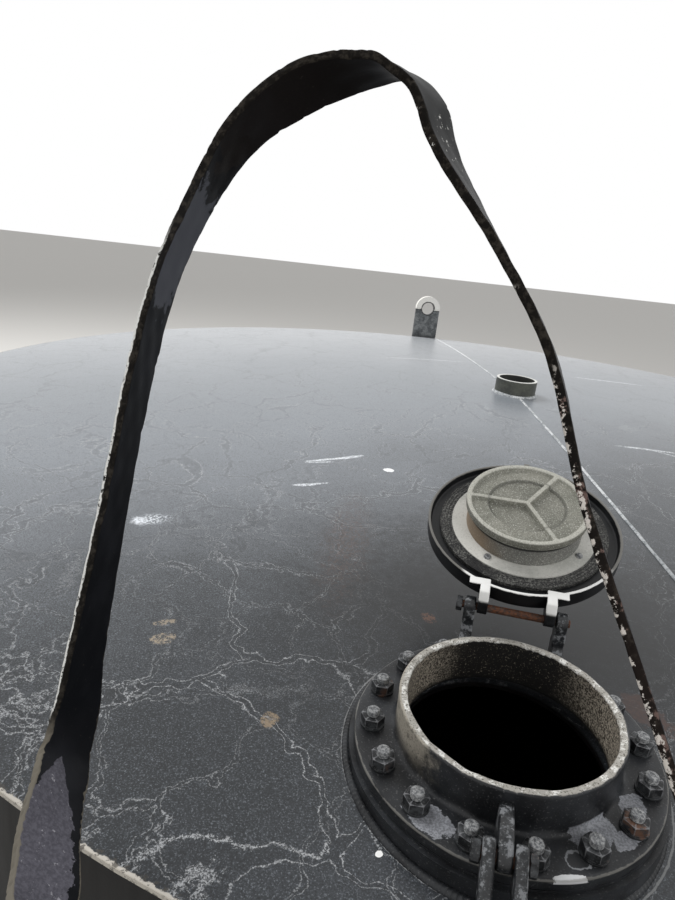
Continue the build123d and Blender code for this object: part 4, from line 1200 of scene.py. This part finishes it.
# Latch: two bar-shaped arms astride the web, a cross bar and a tread
arm_rows = (
    (-13, -8, 7), (-8, -13, 7), (8, -13, 7), (60, -10, 20), (112, -9, 6), (112, 9, 6),
    (60, 10, 20), (8, 13, 7), (-8, 13, 7), (-13, 8, 7),
)
for name, node, side in (("latch_arm_a", "latch_arm_left", -1), ("latch_arm_b", "latch_arm_right", 1)):
    plate(name, latch, arm_rows, side * 8 * mm, side * 19 * mm, 2.6 * mm, latch_enamel, "latch", [node],
          spacing=4 * mm)
bar_frame = (latch[0], np.array([latch[1][0], -latch[1][2], latch[1][1]]))
cross_bar = eased([(0, -8, 0.5), (6, -8, 0.5), (6, 8, 0.5), (0, 8, 0.5)], 3, closed=False)
cross_grid = round_grid(cross_bar, 24) + [48.8 * mm, 0, 0]
skin("latch_cross_bar", put(bar_frame, cross_grid), latch_enamel, "latch", "black_enamel", ["latch_tread"],
     columns_close=True)
tread_rows = ((112, -4, 2), (139, -4, 2), (139, 4, 2), (112, 4, 2))
plate("latch_foot_tread", latch, tread_rows, -33 * mm, 33 * mm, 2 * mm, latch_enamel, "latch", spacing=4 * mm)
for name, low, high in (("latch_pin_head", -28 * mm, -20 * mm), ("latch_pin_nut", 20 * mm, 27 * mm)):
    skin(name, put((latch_pivot[0], np.array([hatch[1][0], -hatch[1][2], hatch[1][1]])),
                   nut_grid(17 * mm, 5.9 * mm, low, high)), fastener_steel, "tank", "rusty_steel",
         **ringed)

# Bolts through the hoop's laps on the ladder's rails
lap_bolts = []
for side in (-1, 1):
    aside = side * ladder_side
    lap_bolts.append((ladder_out * rail_reach + up * bend_top, np.array([up, np.cross(aside, up), aside])))
rail_outer = ladder_half_width + rail_thickness
lap_inner = ladder_half_width - bar_thickness
lap_fasteners = (("lap_nuts", lap_inner - 10 * mm, lap_inner), ("lap_heads", rail_outer, rail_outer + 8 * mm))
for name, low, high in lap_fasteners:
    skin(name, copies(nut_grid(19 * mm, 5.8 * mm, low, high), lap_bolts, [0.3, 0.8]), fastener_steel, "tank",
         "black_enamel", **ringed)
stud_end = stud_grid(6 * mm, 10 * mm - lap_inner, 13 * mm - lap_inner, 1.75 * mm) * [1, 1, -1]
skin("lap_studs", copies(stud_end, lap_bolts, [0, 0]), stud_steel, "tank", "rusty_steel", **capped)

# Bolts round the cleanout's cover
cleanout_out = bearing_vector(140)
cleanout_reach = 1956 * mm
cleanout_height = 420 * mm
cleanout_bolt_circle = 338 * mm
cleanout_bolts = 24
cleanout_face = cleanout_out * cleanout_reach + up * cleanout_height
bolt_places = []
for k in range(cleanout_bolts):
    angle = tau * (k + 0.5) / cleanout_bolts
    aside = np.cross(up, cleanout_out)
    middle = cleanout_face + cleanout_bolt_circle * (cos(angle) * aside + sin(angle) * up)
    bolt_places.append((middle, np.array([aside, np.cross(cleanout_out, aside), cleanout_out])))
spins = draw.uniform(0, tau, cleanout_bolts)
skin("cleanout_nuts", copies(nut_grid(24 * mm, 7 * mm, 0, 13 * mm), bolt_places, spins), fastener_steel,
     "tank", "black_enamel", **ringed)
cleanout_stud = stud_grid(7.6 * mm, -41 * mm, 19 * mm, 2.4 * mm, 24)
skin("cleanout_studs", copies(cleanout_stud, bolt_places, spins), stud_steel,
     "tank", "rusty_steel", **capped)

# Floor, light and background
floor_mesh = bpy.data.meshes.new("floor")
floor_mesh.from_pydata([(-40, -40, 0), (40, -40, 0), (40, 40, 0), (-40, 40, 0)], [], [(0, 1, 2, 3)])
floor = bpy.data.objects.new("floor", floor_mesh)
bpy.context.scene.collection.objects.link(floor)
floor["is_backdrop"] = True
floor_paint, tree, shader, points = start("pale_studio_floor")
shader.inputs["Base Color"].default_value = hex_colour("dcdad6")
shader.inputs["Roughness"].default_value = 0.9
floor_mesh.materials.append(floor_paint)

world = bpy.data.worlds.new("studio")
bpy.context.scene.world = world
world.use_nodes = True
tree = world.node_tree
seen = 0.0
for kind_of_ray in ("Is Camera Ray", "Is Glossy Ray", "Is Transmission Ray"):
    seen = add(tree, "Math", add(tree, "LightPath", output=kind_of_ray), seen, **most)
background = tree.nodes["Background"]
background.inputs["Color"].default_value = (1, 1, 1, 1)
tree.links.new(add(tree, "Math", seen, 0.5, 0.5, **times_plus), background.inputs["Strength"])


def softbox(name, place, aim, size, power):
    """A square area lamp that faces a point, and that shiny surfaces don't mirror."""
    lamp = bpy.data.objects.new(name, bpy.data.lights.new(name, "AREA"))
    lamp.data.size = size
    lamp.data.energy = power
    lamp.location = place
    lamp.visible_glossy = False
    lamp.rotation_euler = (Vector(aim) - Vector(place)).to_track_quat("-Z", "Y").to_euler()
    bpy.context.scene.collection.objects.link(lamp)


softbox("key_left_far", (-6.0, 4.0, 8.5), (0, -0.5, 1.4), 5.0, 850)
softbox("fill_near", (2.5, -6.0, 4.5), (0, -0.5, 1.2), 4.0, 160)

bpy.context.scene.view_settings.view_transform = "Standard"

low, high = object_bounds()
